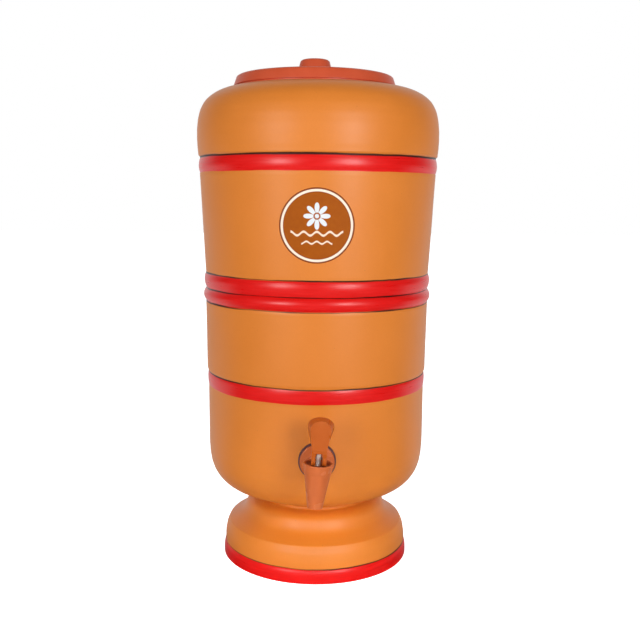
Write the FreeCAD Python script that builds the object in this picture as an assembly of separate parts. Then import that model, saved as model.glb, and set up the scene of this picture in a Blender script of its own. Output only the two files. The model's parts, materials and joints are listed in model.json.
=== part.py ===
import FreeCAD, Part
import math
import os

# A two-chamber clay water filter with a lever tap.  Millimetres, +Z up.
# The origin is the centre of the foot's underside, on the pot's axis; the tap points along -Y.

# ---- driving dimensions: heights above the surface that the pot stands on ----
TOTAL_HEIGHT = 504.0        # top of the lid's knob
FOOT_BAND_TOP = 13.7        # painted band round the foot
FOOT_ARRIS = 35.6           # soft edge where the foot's wall turns in
NECK = 62.8                 # narrowest place, the groove between foot and bowl
LOWER_BAND_BASE = 180.5     # painted band round the lower chamber
LOWER_BAND_TOP = 193.5
LOWER_BEAD_BASE = 266.6     # bead round the lower chamber's mouth
JOINT = 279.3               # the upper chamber rests on the lower one here
UPPER_BEAD_TOP = 293.6      # bead round the upper chamber's base
UPPER_BAND_BASE = 392.6     # painted band round the upper chamber
UPPER_BAND_TOP = 406.2
LID_SEAT = 475.0            # flat rim that the lid rests on
LID_EDGE = 486.5            # upper edge of the lid's side
LID_CROWN = 490.0           # lid's top beside the knob

# ---- driving dimensions: radii about the pot's axis ----
FOOT_R = 95.7
NECK_R = 57.0
BOWL_R = 110.6              # lower chamber's wall above the bowl's curve
LOWER_TOP_R = 112.8         # lower chamber's wall below its bead
UPPER_BASE_R = 112.6        # upper chamber's wall above its bead
UPPER_TOP_R = 117.9         # upper chamber's wall below its band
SHOULDER_R = 120.4          # widest place of the pot
LOWER_BEAD_R = 115.0        # crown of the bead round the lower chamber's mouth
UPPER_BEAD_R = 114.1        # crown of the bead round the upper chamber's base
BEAD_VALLEY_R = 112.0       # edge of each bead where the chambers meet
MOUTH_R = 73.5              # mouth under the lid
LID_R = 80.5                # lid's lower rim
LID_EDGE_R = 77.6           # lid's upper edge
LID_SHIFT = -3.6            # the loose lid rests this far off the pot's axis, along X
KNOB_R = 17.8
KNOB_TOP_R = 10.2

# ---- clay ----
WALL = 9.5                  # thickness of the fired wall
LOWER_MOUTH_R = BOWL_R - WALL
RECESS_R = FOOT_R - 9.2      # inside of the ring that the pot stands on
RECESS_DEPTH = 14.0         # height of that straight inside
SPIGOT_GAP = 1.0            # play of the upper chamber's spigot in the lower mouth
SPIGOT_DEPTH = 12.0
SPIGOT_CHAMFER = 2.0
UPPER_FLOOR = 281.0         # inside of the upper chamber's floor
LOWER_FLOOR = 78.0          # inside of the lower chamber's floor
FOOT_CEILING = 65.0         # hollow under the bowl
LINE = 0.8                  # height of the incised line beside a band or a bead
LINE_DEPTH = 0.4

# ---- thrown curves of the clay, as (radius, height) ----
FOOT_CURVE = ((94.0, 20.5), (93.1, 27.0), (91.6, 32.0), (89.8, FOOT_ARRIS))
FOOT_ROLL = ((84.4, 38.8), (79.4, 41.7), (75.6, 44.8), (73.4, 48.1), (72.0, 51.6), (70.0, 55.2), (65.8, 58.3),
             (59.6, 60.2))
FOOT_HOLLOW = ((66.0, 42.0), (80.0, 30.0), (RECESS_R, RECESS_DEPTH))
BOWL_START = (60.0, 65.8)
BOWL_CURVE = ((75.0, 72.0), (87.4, 75.7), (98.8, 83.3), (106.2, 94.2), (109.5, 107.0), (BOWL_R, 122.0))
BOWL_INSIDE = ((78.0, 82.0), (91.0, 92.0), (98.8, 105.0), (LOWER_MOUTH_R, 120.0))
SHOULDER_START = (119.2, UPPER_BAND_TOP + 3.4)
SHOULDER_CURVE = ((119.8, 416.0), (SHOULDER_R, 427.0), (119.6, 441.0), (116.9, 453.0), (111.5, 462.4),
                  (103.2, 469.0), (94.0, 473.0), (86.5, LID_SEAT - 0.2))
SHOULDER_INSIDE = ((82.0, 464.5), (93.0, 460.0), (104.3, 450.5), (109.4, 438.0), (SHOULDER_R - WALL, 427.0),
                   (UPPER_TOP_R - WALL, 392.0))
MOUTH_DEPTH = 8.5           # height of the mouth's straight inner wall

# ---- round label on the front of the upper chamber ----
LABEL_D = 67.2
LABEL_Z = 344.4
LABEL_TURN = -1.0           # degrees round the pot from the tap's side, to the left
LABEL_T = 0.25

# ---- lid ----
LID_T = 2.4
LID_UNDERCUT = 1.9          # the rim's outer part stands clear of the clay
LID_LEDGE = 1.6             # width of that outer part
LID_FLAT_R = 19.6           # flat circle round the knob
LID_CURVE_R = 50.0          # the crown has dropped by LID_CURVE_DROP here
LID_CURVE_DROP = 1.3
LID_BORDER = 5.1            # width of the flatter border round the crown
SKIRT_GAP = 4.2             # play of the lid's skirt in the mouth, all round when the lid is centred
SKIRT_DEPTH = 9.0
SKIRT_DRAFT = 0.6
KNOB_PEG_R = 4.0
KNOB_PEG_END = 2.8          # the peg reaches this far under the lid's plate
KNOB_SHELL = 2.2
KNOB_DRAFT = 3.2
KNOB_CHAMFER = 1.9

# ---- tap, upright before its lean is applied ----
TAP_Z = 128.0               # axis of the tap's shank
TAP_LEAN = 4.0              # degrees; the tap was tightened slightly out of plumb
TAP_REACH = 145.0           # pot's axis to the tap's own upright axis
FLANGE_R = 16.2
FLANGE_T = 3.0
GASKET_R = 17.5
GASKET_T = 3.0              # where the gasket is thinnest, on the wall's crest
INNER_GASKET_R = 14.0
INNER_GASKET_T = 3.4
SHANK_R = 8.0
SHANK_PLAY = 0.1            # of the gaskets round the shank
SHANK_BORE_R = 3.2
TAP_HOLE_R = 9.0
SHANK_END = -82.0           # y of the shank's open end, inside the lower chamber
BACK_NUT_FLATS = 25.0       # across the flats
BACK_NUT_T = 8.0
BACK_NUT_FLANGE_R = 14.5
BACK_NUT_FLANGE_T = 2.0
BARREL_R = 9.0              # barrel between flange and cup, tapering to SHANK_R
CUP_R = 13.5
CUP_RIM = 136.5
CUP_BORE_R = 11.5
CUP_LEDGE = 132.0           # ledge that the seal's rim lies on
CHAMBER_R = 9.6             # valve chamber under the ledge
SEAT_Z = 117.5              # valve seat
SEAT_CHAMFER = 2.0
THROAT_R = 4.2              # bore just under the seat
THROAT_END = 113.5
SPOUT_BORE_R = 4.8
SPOUT_MIDDLE = (9.6, 113.0)
SPOUT_TIP = 95.5
SPOUT_TIP_R = 6.9
PARTING_Z = 128.0           # faint step where the cup ends and the spout begins
BONNET_T = 1.5
SEAL_RIM_T = 1.0
SEAL_WALL = 1.0             # thickness of the folding wall
SEAL_FOLD_R = 7.6           # radius of the folding wall's foot
SEAL_FOLD_Z = 126.4
PLUG_R = 6.4
PLUG_TOP = 124.6
STEM_R = 2.3
STEM_PLAY = 0.1            # of the stem in the bonnet's guide
STEM_FOOT_Z = SEAT_Z + 1.6
STEM_FOOT_R = STEM_R + 1.0
STEM_FOOT_T = 2.4
STEM_HEAD = 4.3             # the stem's round top above the pin's axis

# ---- tap lever ----
BONNET_TOP = CUP_LEDGE + SEAL_RIM_T + BONNET_T
PIN_ABOVE_BONNET = 6.5      # pin's axis above the bonnet when the tap is shut
PIN_Z = BONNET_TOP + PIN_ABOVE_BONNET
PIN_R = 1.1
PIN_PLAY = 0.05
CAM_RISE = 3.2              # lift of the stem per radian of lever travel
LEVER_TRAVEL = 75.0         # degrees, pulled forward from upright
LEVER_TOP = 177.0
FACE_TOP = LEVER_TOP - 1.6
FORK_TOP = 146.5            # upper end of the slot between the legs
LEG_HALF = 6.65             # half width over the two legs
SLOT_HALF = 3.25
FACE_HALF = 8.9             # half width of the lever's front face near its top
FLANK = 2.5                 # the back of the lever is wider on each side by this
LEVER_FRONT = 4.4           # pin's axis to the lever's front face
LEVER_BACK = 4.6
LEVER_WALL = 2.2            # the paddle is hollow from behind
CAM_GAP = 0.3
CAM_NOSE = 3.4              # the legs' noses stand this far in front of the face

# ---- filter candle ----
CANDLE_R = 27.0
CANDLE_WALL = 8.0
CANDLE_TOP = 384.0
CANDLE_BASE_R = 30.0
CANDLE_BASE_T = 13.0
CANDLE_PLATE_T = 3.0        # floor of the plastic cup under the dome
CARBON_SPACE = 6.0          # the filling ends this far under the dome's round top
CANDLE_STEM_R = 5.7
CANDLE_STEM_END = 243.0
CANDLE_BORE_R = 3.0
CANDLE_HOLE_R = 7.5
WASHER_R = 15.0
WASHER_T = 3.0
WING_NUT_R = 11.0
WING_NUT_T = 8.0
WING_REACH = 19.0           # tip of each wing from the stem's axis
WING_T = 2.8

# ---- float valve under the candle ----
SOCKET_R = 9.0
SOCKET_TOP = 252.0
SOCKET_END = CANDLE_STEM_END - 3.0
NOZZLE_TIP = 234.0
NOZZLE_R = 3.6
NOZZLE_BORE_R = 2.2
FLOAT_PIVOT_Y = -13.0
FLOAT_PIVOT_Z = 230.0
FLOAT_REACH = 62.0          # pivot to the float's centre
FLOAT_R = 18.0
FLOAT_T = 22.0
FLOAT_ROUND = 3.0
ARM_HALF = 3.5
ARM_T = 3.0
ARM_TIP = 4.0               # the arm reaches this far past the float's centre
ARM_BOSS_R = 2.9
EAR_GAP = 0.4
EAR_T = 2.2
EAR_HALF = 3.6              # half width of an ear beside its pin
EAR_ROOT_Y = -4.6
EAR_ROOT_Z = SOCKET_TOP - 4.0
FLOAT_PIN_R = 1.1
PAD_R = 3.5
PAD_GAP = 0.3               # pad to nozzle with the arm level

V = FreeCAD.Vector
UP = V(0, 0, 1)


# ---- outlines and solids ----
def arc(middle, end):
    return ("arc", middle, end)


def curve(*points):
    return ("curve", points)


def ring(start, *steps):
    """A solid of revolution about Z.  The outline's points are (radius, height); a bare point ends a straight
    edge, arc(...) passes through its middle point and curve(...) runs smoothly through all of its points."""
    edges = []
    here = start
    for step in (*steps, start):
        if step[0] == "arc":
            end = step[2]
            edge = Part.Arc(V(here[0], 0, here[1]), V(step[1][0], 0, step[1][1]), V(end[0], 0, end[1]))
        elif step[0] == "curve":
            end = step[1][-1]
            edge = Part.BSplineCurve()
            edge.interpolate([V(r, 0, z) for r, z in (here, *step[1])])
        else:
            end = step
            if end == here:
                continue
            edge = Part.LineSegment(V(here[0], 0, here[1]), V(end[0], 0, end[1]))
        edges.append(edge.toShape())
        here = end
    return Part.Face(Part.Wire(edges)).revolve(V(0, 0, 0), UP, 360)


def rod(radius, start, end):
    """A cylinder between two points."""
    along = end - start
    return Part.makeCylinder(radius, along.Length, start, along)


def block(low, high):
    return Part.makeBox(high.x - low.x, high.y - low.y, high.z - low.z, low)


def rounded(solid, radius, edges):
    """The solid with the chosen edges rounded."""
    return solid.makeFillet(radius, edges)


def on_mouth(shape):
    """Moves a piece of the lid from the pot's axis to where the lid rests."""
    shape = shape.copy()
    shape.translate(V(LID_SHIFT, 0, 0))
    return shape


def leaned(shape):
    """Turns a tap piece from upright to its place, about the shank's axis."""
    shape = shape.copy()
    shape.rotate(V(0, 0, TAP_Z), V(0, 1, 0), TAP_LEAN)
    return shape


def at_tap(shape):
    """Moves a solid of revolution from the pot's axis to the tap's own upright axis."""
    shape = shape.copy()
    shape.translate(V(0, -TAP_REACH, 0))
    return shape


# ---- lower chamber ----
def lower_outside():
    """The outer outline of the lower chamber, from the foot's ring up to the joint."""
    return [
        (FOOT_R, 0.0),
        (FOOT_R, 4.0),
        arc((FOOT_R - 0.4, 9.3), (FOOT_R - 1.7, FOOT_BAND_TOP - LINE_DEPTH)),
        (FOOT_R - 1.5, FOOT_BAND_TOP + LINE),
        curve(*FOOT_CURVE),
        curve(*FOOT_ROLL),
        arc((NECK_R, NECK), BOWL_START),
        curve(*BOWL_CURVE),
        (BOWL_R, LOWER_BAND_BASE),
        arc((BOWL_R + 0.75, LOWER_BAND_TOP - 4.5), (BOWL_R + 0.2, LOWER_BAND_TOP)),
        (BOWL_R - 0.2, LOWER_BAND_TOP + LINE),
        arc((BOWL_R + 0.7, LOWER_BAND_TOP + 2.4), (BOWL_R + 1.2, LOWER_BAND_TOP + 5.0)),
        (LOWER_TOP_R, LOWER_BEAD_BASE - LINE),
        (LOWER_TOP_R - LINE_DEPTH, LOWER_BEAD_BASE),
        arc((LOWER_BEAD_R, LOWER_BEAD_BASE + 5.6), (BEAD_VALLEY_R, JOINT)),
    ]


def lower_cavity():
    """The water space of the lower chamber, open at the top."""
    return ring(
        (0.0, LOWER_FLOOR),
        (52.0, LOWER_FLOOR),
        curve(*BOWL_INSIDE),
        (LOWER_MOUTH_R, JOINT + 5.0),
        (0.0, JOINT + 5.0),
    )


def make_lower_chamber():
    body = ring(
        (RECESS_R, 0.0),
        *lower_outside(),
        (0.0, JOINT),
        (0.0, FOOT_CEILING),
        (36.0, FOOT_CEILING),
        arc((46.5, 61.5), (53.0, 53.0)),
        curve(*FOOT_HOLLOW),
    )
    tap_hole = rod(TAP_HOLE_R, V(0, -BOWL_R - WALL, TAP_Z), V(0, -BOWL_R + 2 * WALL, TAP_Z))
    return body.cut(lower_cavity()).cut(tap_hole)


# ---- upper chamber ----
def upper_wall():
    """The straight outer wall between the bead and the band, as its two ends."""
    return (UPPER_BASE_R, UPPER_BEAD_TOP + 2 * LINE), (UPPER_TOP_R, UPPER_BAND_BASE - LINE)


def make_upper_chamber():
    spigot_r = LOWER_MOUTH_R - SPIGOT_GAP
    wall_base, wall_top = upper_wall()
    return ring(
        (CANDLE_HOLE_R, JOINT - SPIGOT_DEPTH),
        (spigot_r - SPIGOT_CHAMFER, JOINT - SPIGOT_DEPTH),
        (spigot_r, JOINT - SPIGOT_DEPTH + SPIGOT_CHAMFER),
        (spigot_r, JOINT),
        (BEAD_VALLEY_R, JOINT),
        arc((UPPER_BEAD_R, JOINT + 7.1), (UPPER_BASE_R + LINE_DEPTH, UPPER_BEAD_TOP)),
        (UPPER_BASE_R - LINE_DEPTH / 2, UPPER_BEAD_TOP + LINE),
        wall_base,
        wall_top,
        (UPPER_TOP_R - 0.2, UPPER_BAND_BASE),
        arc((UPPER_TOP_R + 1.1, UPPER_BAND_BASE + 7.4), (UPPER_TOP_R, UPPER_BAND_TOP)),
        (UPPER_TOP_R - LINE_DEPTH, UPPER_BAND_TOP + 2 * LINE),
        SHOULDER_START,
        curve(*SHOULDER_CURVE),
        (MOUTH_R + 1.6, LID_SEAT),
        arc((MOUTH_R + 0.47, LID_SEAT - 0.47), (MOUTH_R, LID_SEAT - 1.6)),
        (MOUTH_R, LID_SEAT - MOUTH_DEPTH),
        curve(*SHOULDER_INSIDE),
        (103.6, 296.0),
        arc((101.2, 285.4), (91.5, UPPER_FLOOR)),
        (CANDLE_HOLE_R, UPPER_FLOOR),
    )


def make_front_label():
    """A thin round label that follows the wall."""
    wall_base, wall_top = upper_wall()
    sleeve = ring(
        wall_base,
        (wall_base[0] + LABEL_T, wall_base[1]),
        (wall_top[0] + LABEL_T, wall_top[1]),
        wall_top,
    )
    punch = rod(LABEL_D / 2, V(0, 0, LABEL_Z), V(0, -2 * SHOULDER_R, LABEL_Z))
    punch.rotate(V(0, 0, 0), UP, LABEL_TURN)
    return sleeve.common(punch)


# ---- lid ----
def make_lid():
    skirt_r = MOUTH_R - SKIRT_GAP
    rim_base = LID_SEAT + LID_UNDERCUT
    curve_z = LID_CROWN - LID_CURVE_DROP
    return on_mouth(ring(
        (KNOB_PEG_R, LID_CROWN),
        (LID_FLAT_R, LID_CROWN),
        curve((LID_CURVE_R, curve_z), (LID_EDGE_R - LID_BORDER, LID_EDGE + 0.6)),
        (LID_EDGE_R, LID_EDGE),
        (LID_R, rim_base + 0.6),
        (LID_R, rim_base),
        (LID_R - LID_LEDGE, rim_base),
        (LID_R - LID_LEDGE, LID_SEAT),
        (skirt_r, LID_SEAT),
        (skirt_r - SKIRT_DRAFT, LID_SEAT - SKIRT_DEPTH),
        (skirt_r - LID_T, LID_SEAT - SKIRT_DEPTH),
        (skirt_r - LID_T, LID_SEAT + LID_T),
        (LID_R - 2 * LID_T, LID_SEAT + LID_T),
        (LID_EDGE_R - LID_T, LID_EDGE - LID_T),
        curve((LID_CURVE_R, curve_z - LID_T), (LID_FLAT_R, LID_CROWN - LID_T)),
        (KNOB_PEG_R, LID_CROWN - LID_T),
    ))


def make_lid_knob():
    """A hollow knob whose peg is pressed into the lid."""
    bevel_z = TOTAL_HEIGHT - KNOB_CHAMFER
    peg_end = LID_CROWN - LID_T - KNOB_PEG_END
    return on_mouth(ring(
        (0.0, TOTAL_HEIGHT),
        (KNOB_TOP_R, TOTAL_HEIGHT),
        arc((KNOB_R - KNOB_DRAFT - 1.4, TOTAL_HEIGHT - 0.6), (KNOB_R - KNOB_DRAFT, bevel_z)),
        (KNOB_R, LID_CROWN),
        (KNOB_R - KNOB_SHELL, LID_CROWN),
        (KNOB_R - KNOB_DRAFT - KNOB_SHELL, bevel_z - KNOB_SHELL),
        (KNOB_PEG_R, bevel_z - KNOB_SHELL),
        (KNOB_PEG_R, peg_end + 1.3),
        (KNOB_PEG_R - 1.0, peg_end),
        (0.0, peg_end),
    ))


# ---- tap ----
def gasket_blank(radius, near, far):
    """A flat washer on the shank, between two distances in front of the pot's axis."""
    washer = rod(radius, V(0, -near, TAP_Z), V(0, -far, TAP_Z))
    return washer.cut(rod(SHANK_R + SHANK_PLAY, V(0, -near + 1, TAP_Z), V(0, -far - 1, TAP_Z)))


def make_tap_outer_gasket():
    """Rubber, pressed to the curve of the wall outside."""
    low = TAP_Z - 2 * GASKET_R
    high = TAP_Z + 2 * GASKET_R
    wall = ring((0, low), (BOWL_R, low), (BOWL_R, high), (0, high))
    return gasket_blank(GASKET_R, BOWL_R - 5, BOWL_R + GASKET_T).cut(wall)


def make_tap_inner_gasket():
    """Rubber, pressed to the curve of the wall inside."""
    return gasket_blank(INNER_GASKET_R, LOWER_MOUTH_R - INNER_GASKET_T, BOWL_R).common(lower_cavity())


def make_tap_back_nut():
    """A flanged hexagon nut on the shank, against the inner gasket."""
    face = -(LOWER_MOUTH_R - INNER_GASKET_T)
    flange = rod(BACK_NUT_FLANGE_R, V(0, face, TAP_Z), V(0, face + BACK_NUT_FLANGE_T, TAP_Z))
    corners = [math.radians(60 * i + 30) for i in range(7)]
    corner_r = BACK_NUT_FLATS / 2 / math.cos(math.radians(30))
    points = [V(corner_r * math.cos(a), face, TAP_Z + corner_r * math.sin(a)) for a in corners]
    body = Part.Face(Part.makePolygon(points)).extrude(V(0, BACK_NUT_T, 0))
    nut = flange.fuse(body).removeSplitter()
    chamfer = Part.makeCone(corner_r + 3.2, corner_r - 1.0, BACK_NUT_T + 0.6, V(0, face, TAP_Z), V(0, 1, 0))
    nut = nut.common(chamfer)
    return leaned(nut.cut(rod(SHANK_R, V(0, face - 1, TAP_Z), V(0, face + BACK_NUT_T + 1, TAP_Z))))


def make_tap_body():
    """Shank, flange, barrel, cup and spout in one moulding."""
    flange_y = -(BOWL_R + GASKET_T)
    cup = at_tap(ring(
        (0.0, CUP_RIM),
        (CUP_R - 0.5, CUP_RIM),
        arc((CUP_R - 0.1, CUP_RIM - 0.2), (CUP_R, CUP_RIM - 0.7)),
        (CUP_R - 1.0, PARTING_Z + 0.3),
        (CUP_R - 1.4, PARTING_Z - 0.3),
        curve(SPOUT_MIDDLE, (SPOUT_TIP_R, SPOUT_TIP)),
        (0.0, SPOUT_TIP),
    ))
    shank = rod(SHANK_R, V(0, flange_y, TAP_Z), V(0, SHANK_END, TAP_Z))
    flange = rod(FLANGE_R, V(0, flange_y, TAP_Z), V(0, flange_y - FLANGE_T, TAP_Z))
    flange = rounded(flange, 1.2, [e for e in flange.Edges if e.BoundBox.YMax < flange_y - 1])
    barrel_length = TAP_REACH + flange_y - CHAMBER_R
    barrel = Part.makeCone(BARREL_R, SHANK_R, barrel_length, V(0, flange_y - 1, TAP_Z), V(0, -1, 0))
    body = cup.fuse([shank, flange, barrel]).removeSplitter()
    inside = at_tap(ring(
        (0.0, CUP_RIM + 1),
        (CUP_BORE_R, CUP_RIM + 1),
        (CUP_BORE_R, CUP_LEDGE),
        (CHAMBER_R, CUP_LEDGE),
        (CHAMBER_R, SEAT_Z + SEAT_CHAMFER),
        (CHAMBER_R - SEAT_CHAMFER, SEAT_Z),
        (THROAT_R, SEAT_Z),
        (THROAT_R, THROAT_END),
        (SPOUT_BORE_R, THROAT_END),
        (SPOUT_BORE_R, SPOUT_TIP - 1),
        (0.0, SPOUT_TIP - 1),
    ))
    flow = rod(SHANK_BORE_R, V(0, SHANK_END + 1, TAP_Z), V(0, -TAP_REACH + CHAMBER_R - 2, TAP_Z))
    return leaned(body.cut(inside).cut(flow))


def make_tap_bonnet():
    """The disc that holds the seal's rim down in the cup and guides the stem."""
    return leaned(at_tap(ring(
        (STEM_R + STEM_PLAY, BONNET_TOP),
        (CUP_BORE_R - 0.5, BONNET_TOP),
        (CUP_BORE_R, BONNET_TOP - 0.5),
        (CUP_BORE_R, BONNET_TOP - BONNET_T),
        (STEM_R + STEM_PLAY, BONNET_TOP - BONNET_T),
    )))


def stem_foot():
    """The outline of the stem's foot, which the seal's plug holds."""
    return [
        (0.0, STEM_FOOT_Z),
        (STEM_FOOT_R, STEM_FOOT_Z),
        (STEM_FOOT_R, STEM_FOOT_Z + STEM_FOOT_T),
        (STEM_R, STEM_FOOT_Z + STEM_FOOT_T + 0.6),
    ]


def make_tap_seal():
    """One silicone moulding: clamped rim, thin folding wall and the plug that closes the seat."""
    rim_top = CUP_LEDGE + SEAL_RIM_T
    return leaned(at_tap(ring(
        (CUP_BORE_R - 0.1, rim_top),
        (CUP_BORE_R - 0.1, CUP_LEDGE),
        (SEAL_FOLD_R + SEAL_WALL, CUP_LEDGE),
        (SEAL_FOLD_R, SEAL_FOLD_Z),
        (PLUG_R, PLUG_TOP),
        (PLUG_R, SEAT_Z + 1.2),
        arc((PLUG_R - 0.5, SEAT_Z + 0.3), (PLUG_R - 1.6, SEAT_Z)),
        (THROAT_R - 0.1, SEAT_Z),
        (THROAT_R - 0.8, SEAT_Z - 1.4),
        (0.0, SEAT_Z - 2.2),
        *stem_foot(),
        (STEM_R, PLUG_TOP + SEAL_WALL),
        (SEAL_FOLD_R - SEAL_WALL, SEAL_FOLD_Z + 0.8),
        (SEAL_FOLD_R, rim_top - 0.4),
        (SEAL_FOLD_R + 0.3, rim_top),
    )))


def make_tap_stem():
    """The white stem: a foot held in the seal's plug, and a round head with the eye for the lever's pin."""
    stem = at_tap(ring(
        *stem_foot(),
        (STEM_R, PIN_Z + STEM_R),
        arc((STEM_R - 0.4, PIN_Z + STEM_HEAD - 0.6), (STEM_R - 1.2, PIN_Z + STEM_HEAD)),
        (0.0, PIN_Z + STEM_HEAD),
    ))
    eye = rod(PIN_R, V(-CUP_R, -TAP_REACH, PIN_Z), V(CUP_R, -TAP_REACH, PIN_Z))
    return leaned(stem.cut(eye))


def make_tap_lever_pin():
    half = LEG_HALF - 0.3
    return leaned(rod(PIN_R, V(-half, -TAP_REACH, PIN_Z), V(half, -TAP_REACH, PIN_Z)))


def cam_point(angle):
    """A point of the cam whose distance below the pin grows evenly as the lever is pulled forward."""
    depth = PIN_ABOVE_BONNET - CAM_GAP + CAM_RISE * angle
    y = -depth * math.sin(angle) - CAM_RISE * math.cos(angle)
    z = -depth * math.cos(angle) + CAM_RISE * math.sin(angle)
    return V(0, -TAP_REACH + y, PIN_Z + z)


def lever_outline(y, base, half_foot, half_top, top):
    """The lever's face: straight flanks that widen upwards and a round top, in the plane at y."""
    shoulder = top - 0.62 * half_top - 4.6
    waist = max(base + 1.0, FORK_TOP + 1.5)
    points = [V(half_foot, y, base), V(half_foot, y, waist), V(half_top, y, shoulder)]
    mirrored = [V(-p.x, p.y, p.z) for p in reversed(points)]
    corner = 0.86 * half_top
    crown = Part.BSplineCurve()
    crown.interpolate([
        points[-1], V(corner, y, top - 3.6), V(0, y, top), V(-corner, y, top - 3.6), mirrored[0],
    ])
    edges = [Part.LineSegment(a, b).toShape() for a, b in zip(points, points[1:])]
    edges.append(crown.toShape())
    edges += [Part.LineSegment(a, b).toShape() for a, b in zip(mirrored, mirrored[1:])]
    edges.append(Part.LineSegment(mirrored[-1], points[0]).toShape())
    return Part.Wire(edges)


def lever_foot(y_front, y_back):
    """The fork's side view, a cam below and in front of the pin, drawn across both legs."""
    travel = math.radians(LEVER_TRAVEL)
    cam = [cam_point(travel * i / 6) for i in range(7)]
    edge = Part.BSplineCurve()
    edge.interpolate(cam)
    bridge = FORK_TOP + 2.0
    corners = [
        cam[-1],
        V(0, y_front - CAM_NOSE, PIN_Z + 4.0),
        V(0, y_front, bridge),
        V(0, y_back, bridge),
        V(0, y_back, PIN_Z - 2.0),
        V(0, y_back - 0.8, cam[0].z),
        cam[0],
    ]
    edges = [edge.toShape()]
    edges += [Part.LineSegment(a, b).toShape() for a, b in zip(corners, corners[1:])]
    side = Part.Face(Part.Wire(edges))
    side.translate(V(-LEG_HALF, 0, 0))
    return side.extrude(V(2 * LEG_HALF, 0, 0))


def make_tap_lever():
    """A paddle with drafted flanks, hollow from behind, on a forked foot whose two legs are cams."""
    y_front = -TAP_REACH - LEVER_FRONT
    y_back = -TAP_REACH + LEVER_BACK
    half_back = FACE_HALF + FLANK
    front = lever_outline(y_front, PIN_Z - 1.0, LEG_HALF, FACE_HALF, FACE_TOP)
    back = lever_outline(y_back, PIN_Z - 1.0, LEG_HALF, half_back, LEVER_TOP)
    paddle = Part.makeLoft([front, back], True, True)
    lever = paddle.fuse(lever_foot(y_front, y_back)).removeSplitter()

    thin = LEVER_WALL
    y_floor = y_front + thin
    base = FORK_TOP + 2 * thin
    floor = lever_outline(y_floor, base, LEG_HALF - thin, FACE_HALF - thin + 0.6, FACE_TOP - thin)
    mouth = lever_outline(y_back + 0.1, base, LEG_HALF - thin + 0.4, half_back - thin, LEVER_TOP - thin)
    hollow = Part.makeLoft([floor, mouth], True, True)

    far = 2 * CUP_R
    slot = block(V(-SLOT_HALF, -TAP_REACH - far, SEAT_Z), V(SLOT_HALF, -TAP_REACH + far, FORK_TOP))
    pin_hole = rod(PIN_R + PIN_PLAY, V(-far, -TAP_REACH, PIN_Z), V(far, -TAP_REACH, PIN_Z))
    return leaned(lever.cut(hollow).cut(slot).cut(pin_hole))


# ---- filter candle ----
def make_candle_dome():
    seat = UPPER_FLOOR + WASHER_T + CANDLE_PLATE_T
    shoulder = CANDLE_TOP - CANDLE_R
    inner = CANDLE_R - CANDLE_WALL
    diagonal = math.sqrt(0.5)
    return ring(
        (inner, seat),
        (CANDLE_R, seat),
        (CANDLE_R, shoulder),
        arc((CANDLE_R * diagonal, shoulder + CANDLE_R * diagonal), (0.0, CANDLE_TOP)),
        (0.0, CANDLE_TOP - CANDLE_WALL),
        arc((inner * diagonal, shoulder + inner * diagonal), (inner, shoulder)),
    )


def make_candle_carbon():
    """The granules that fill the dome, as one closed solid."""
    seat = UPPER_FLOOR + WASHER_T + CANDLE_PLATE_T
    inner = CANDLE_R - CANDLE_WALL
    top = CANDLE_TOP - CANDLE_R - CARBON_SPACE
    return ring((0.0, seat), (inner, seat), (inner, top), (0.0, top))


def make_candle_base():
    """The plastic cup that the dome is cemented into, with its hollow threaded stem."""
    floor = UPPER_FLOOR + WASHER_T
    return ring(
        (CANDLE_BORE_R, floor + CANDLE_PLATE_T),
        (CANDLE_R, floor + CANDLE_PLATE_T),
        (CANDLE_R, floor + CANDLE_BASE_T),
        (CANDLE_BASE_R - 0.8, floor + CANDLE_BASE_T),
        (CANDLE_BASE_R, floor + CANDLE_BASE_T - 0.8),
        (CANDLE_BASE_R, floor + 1.5),
        (CANDLE_BASE_R - 1.5, floor),
        (CANDLE_STEM_R, floor),
        (CANDLE_STEM_R, CANDLE_STEM_END + 0.8),
        (CANDLE_STEM_R - 0.8, CANDLE_STEM_END),
        (CANDLE_BORE_R, CANDLE_STEM_END),
    )


def washer(bottom):
    return ring(
        (CANDLE_STEM_R + 0.1, bottom),
        (WASHER_R, bottom),
        (WASHER_R, bottom + WASHER_T),
        (CANDLE_STEM_R + 0.1, bottom + WASHER_T),
    )


def make_candle_upper_washer():
    return washer(UPPER_FLOOR)


def make_candle_lower_washer():
    return washer(JOINT - SPIGOT_DEPTH - WASHER_T)


def make_candle_nut():
    """A wing nut, turned by hand."""
    top = JOINT - SPIGOT_DEPTH - WASHER_T
    hub = ring(
        (CANDLE_STEM_R, top),
        (WASHER_R - 1.0, top),
        (WASHER_R - 1.0, top - 1.6),
        (WING_NUT_R, top - 2.4),
        (WING_NUT_R - 0.8, top - WING_NUT_T),
        (CANDLE_STEM_R, top - WING_NUT_T),
    )
    low = top - WING_NUT_T - 1.0
    root = WING_NUT_R - 2.5
    half = WING_T / 2
    wings = [
        block(V(root, -half, low), V(WING_REACH, half, top - 2.0)),
        block(V(-WING_REACH, -half, low), V(-root, half, top - 2.0)),
    ]
    wings = [rounded(wing, 1.0, wing.Edges) for wing in wings]
    return hub.fuse(wings).removeSplitter()


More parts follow.
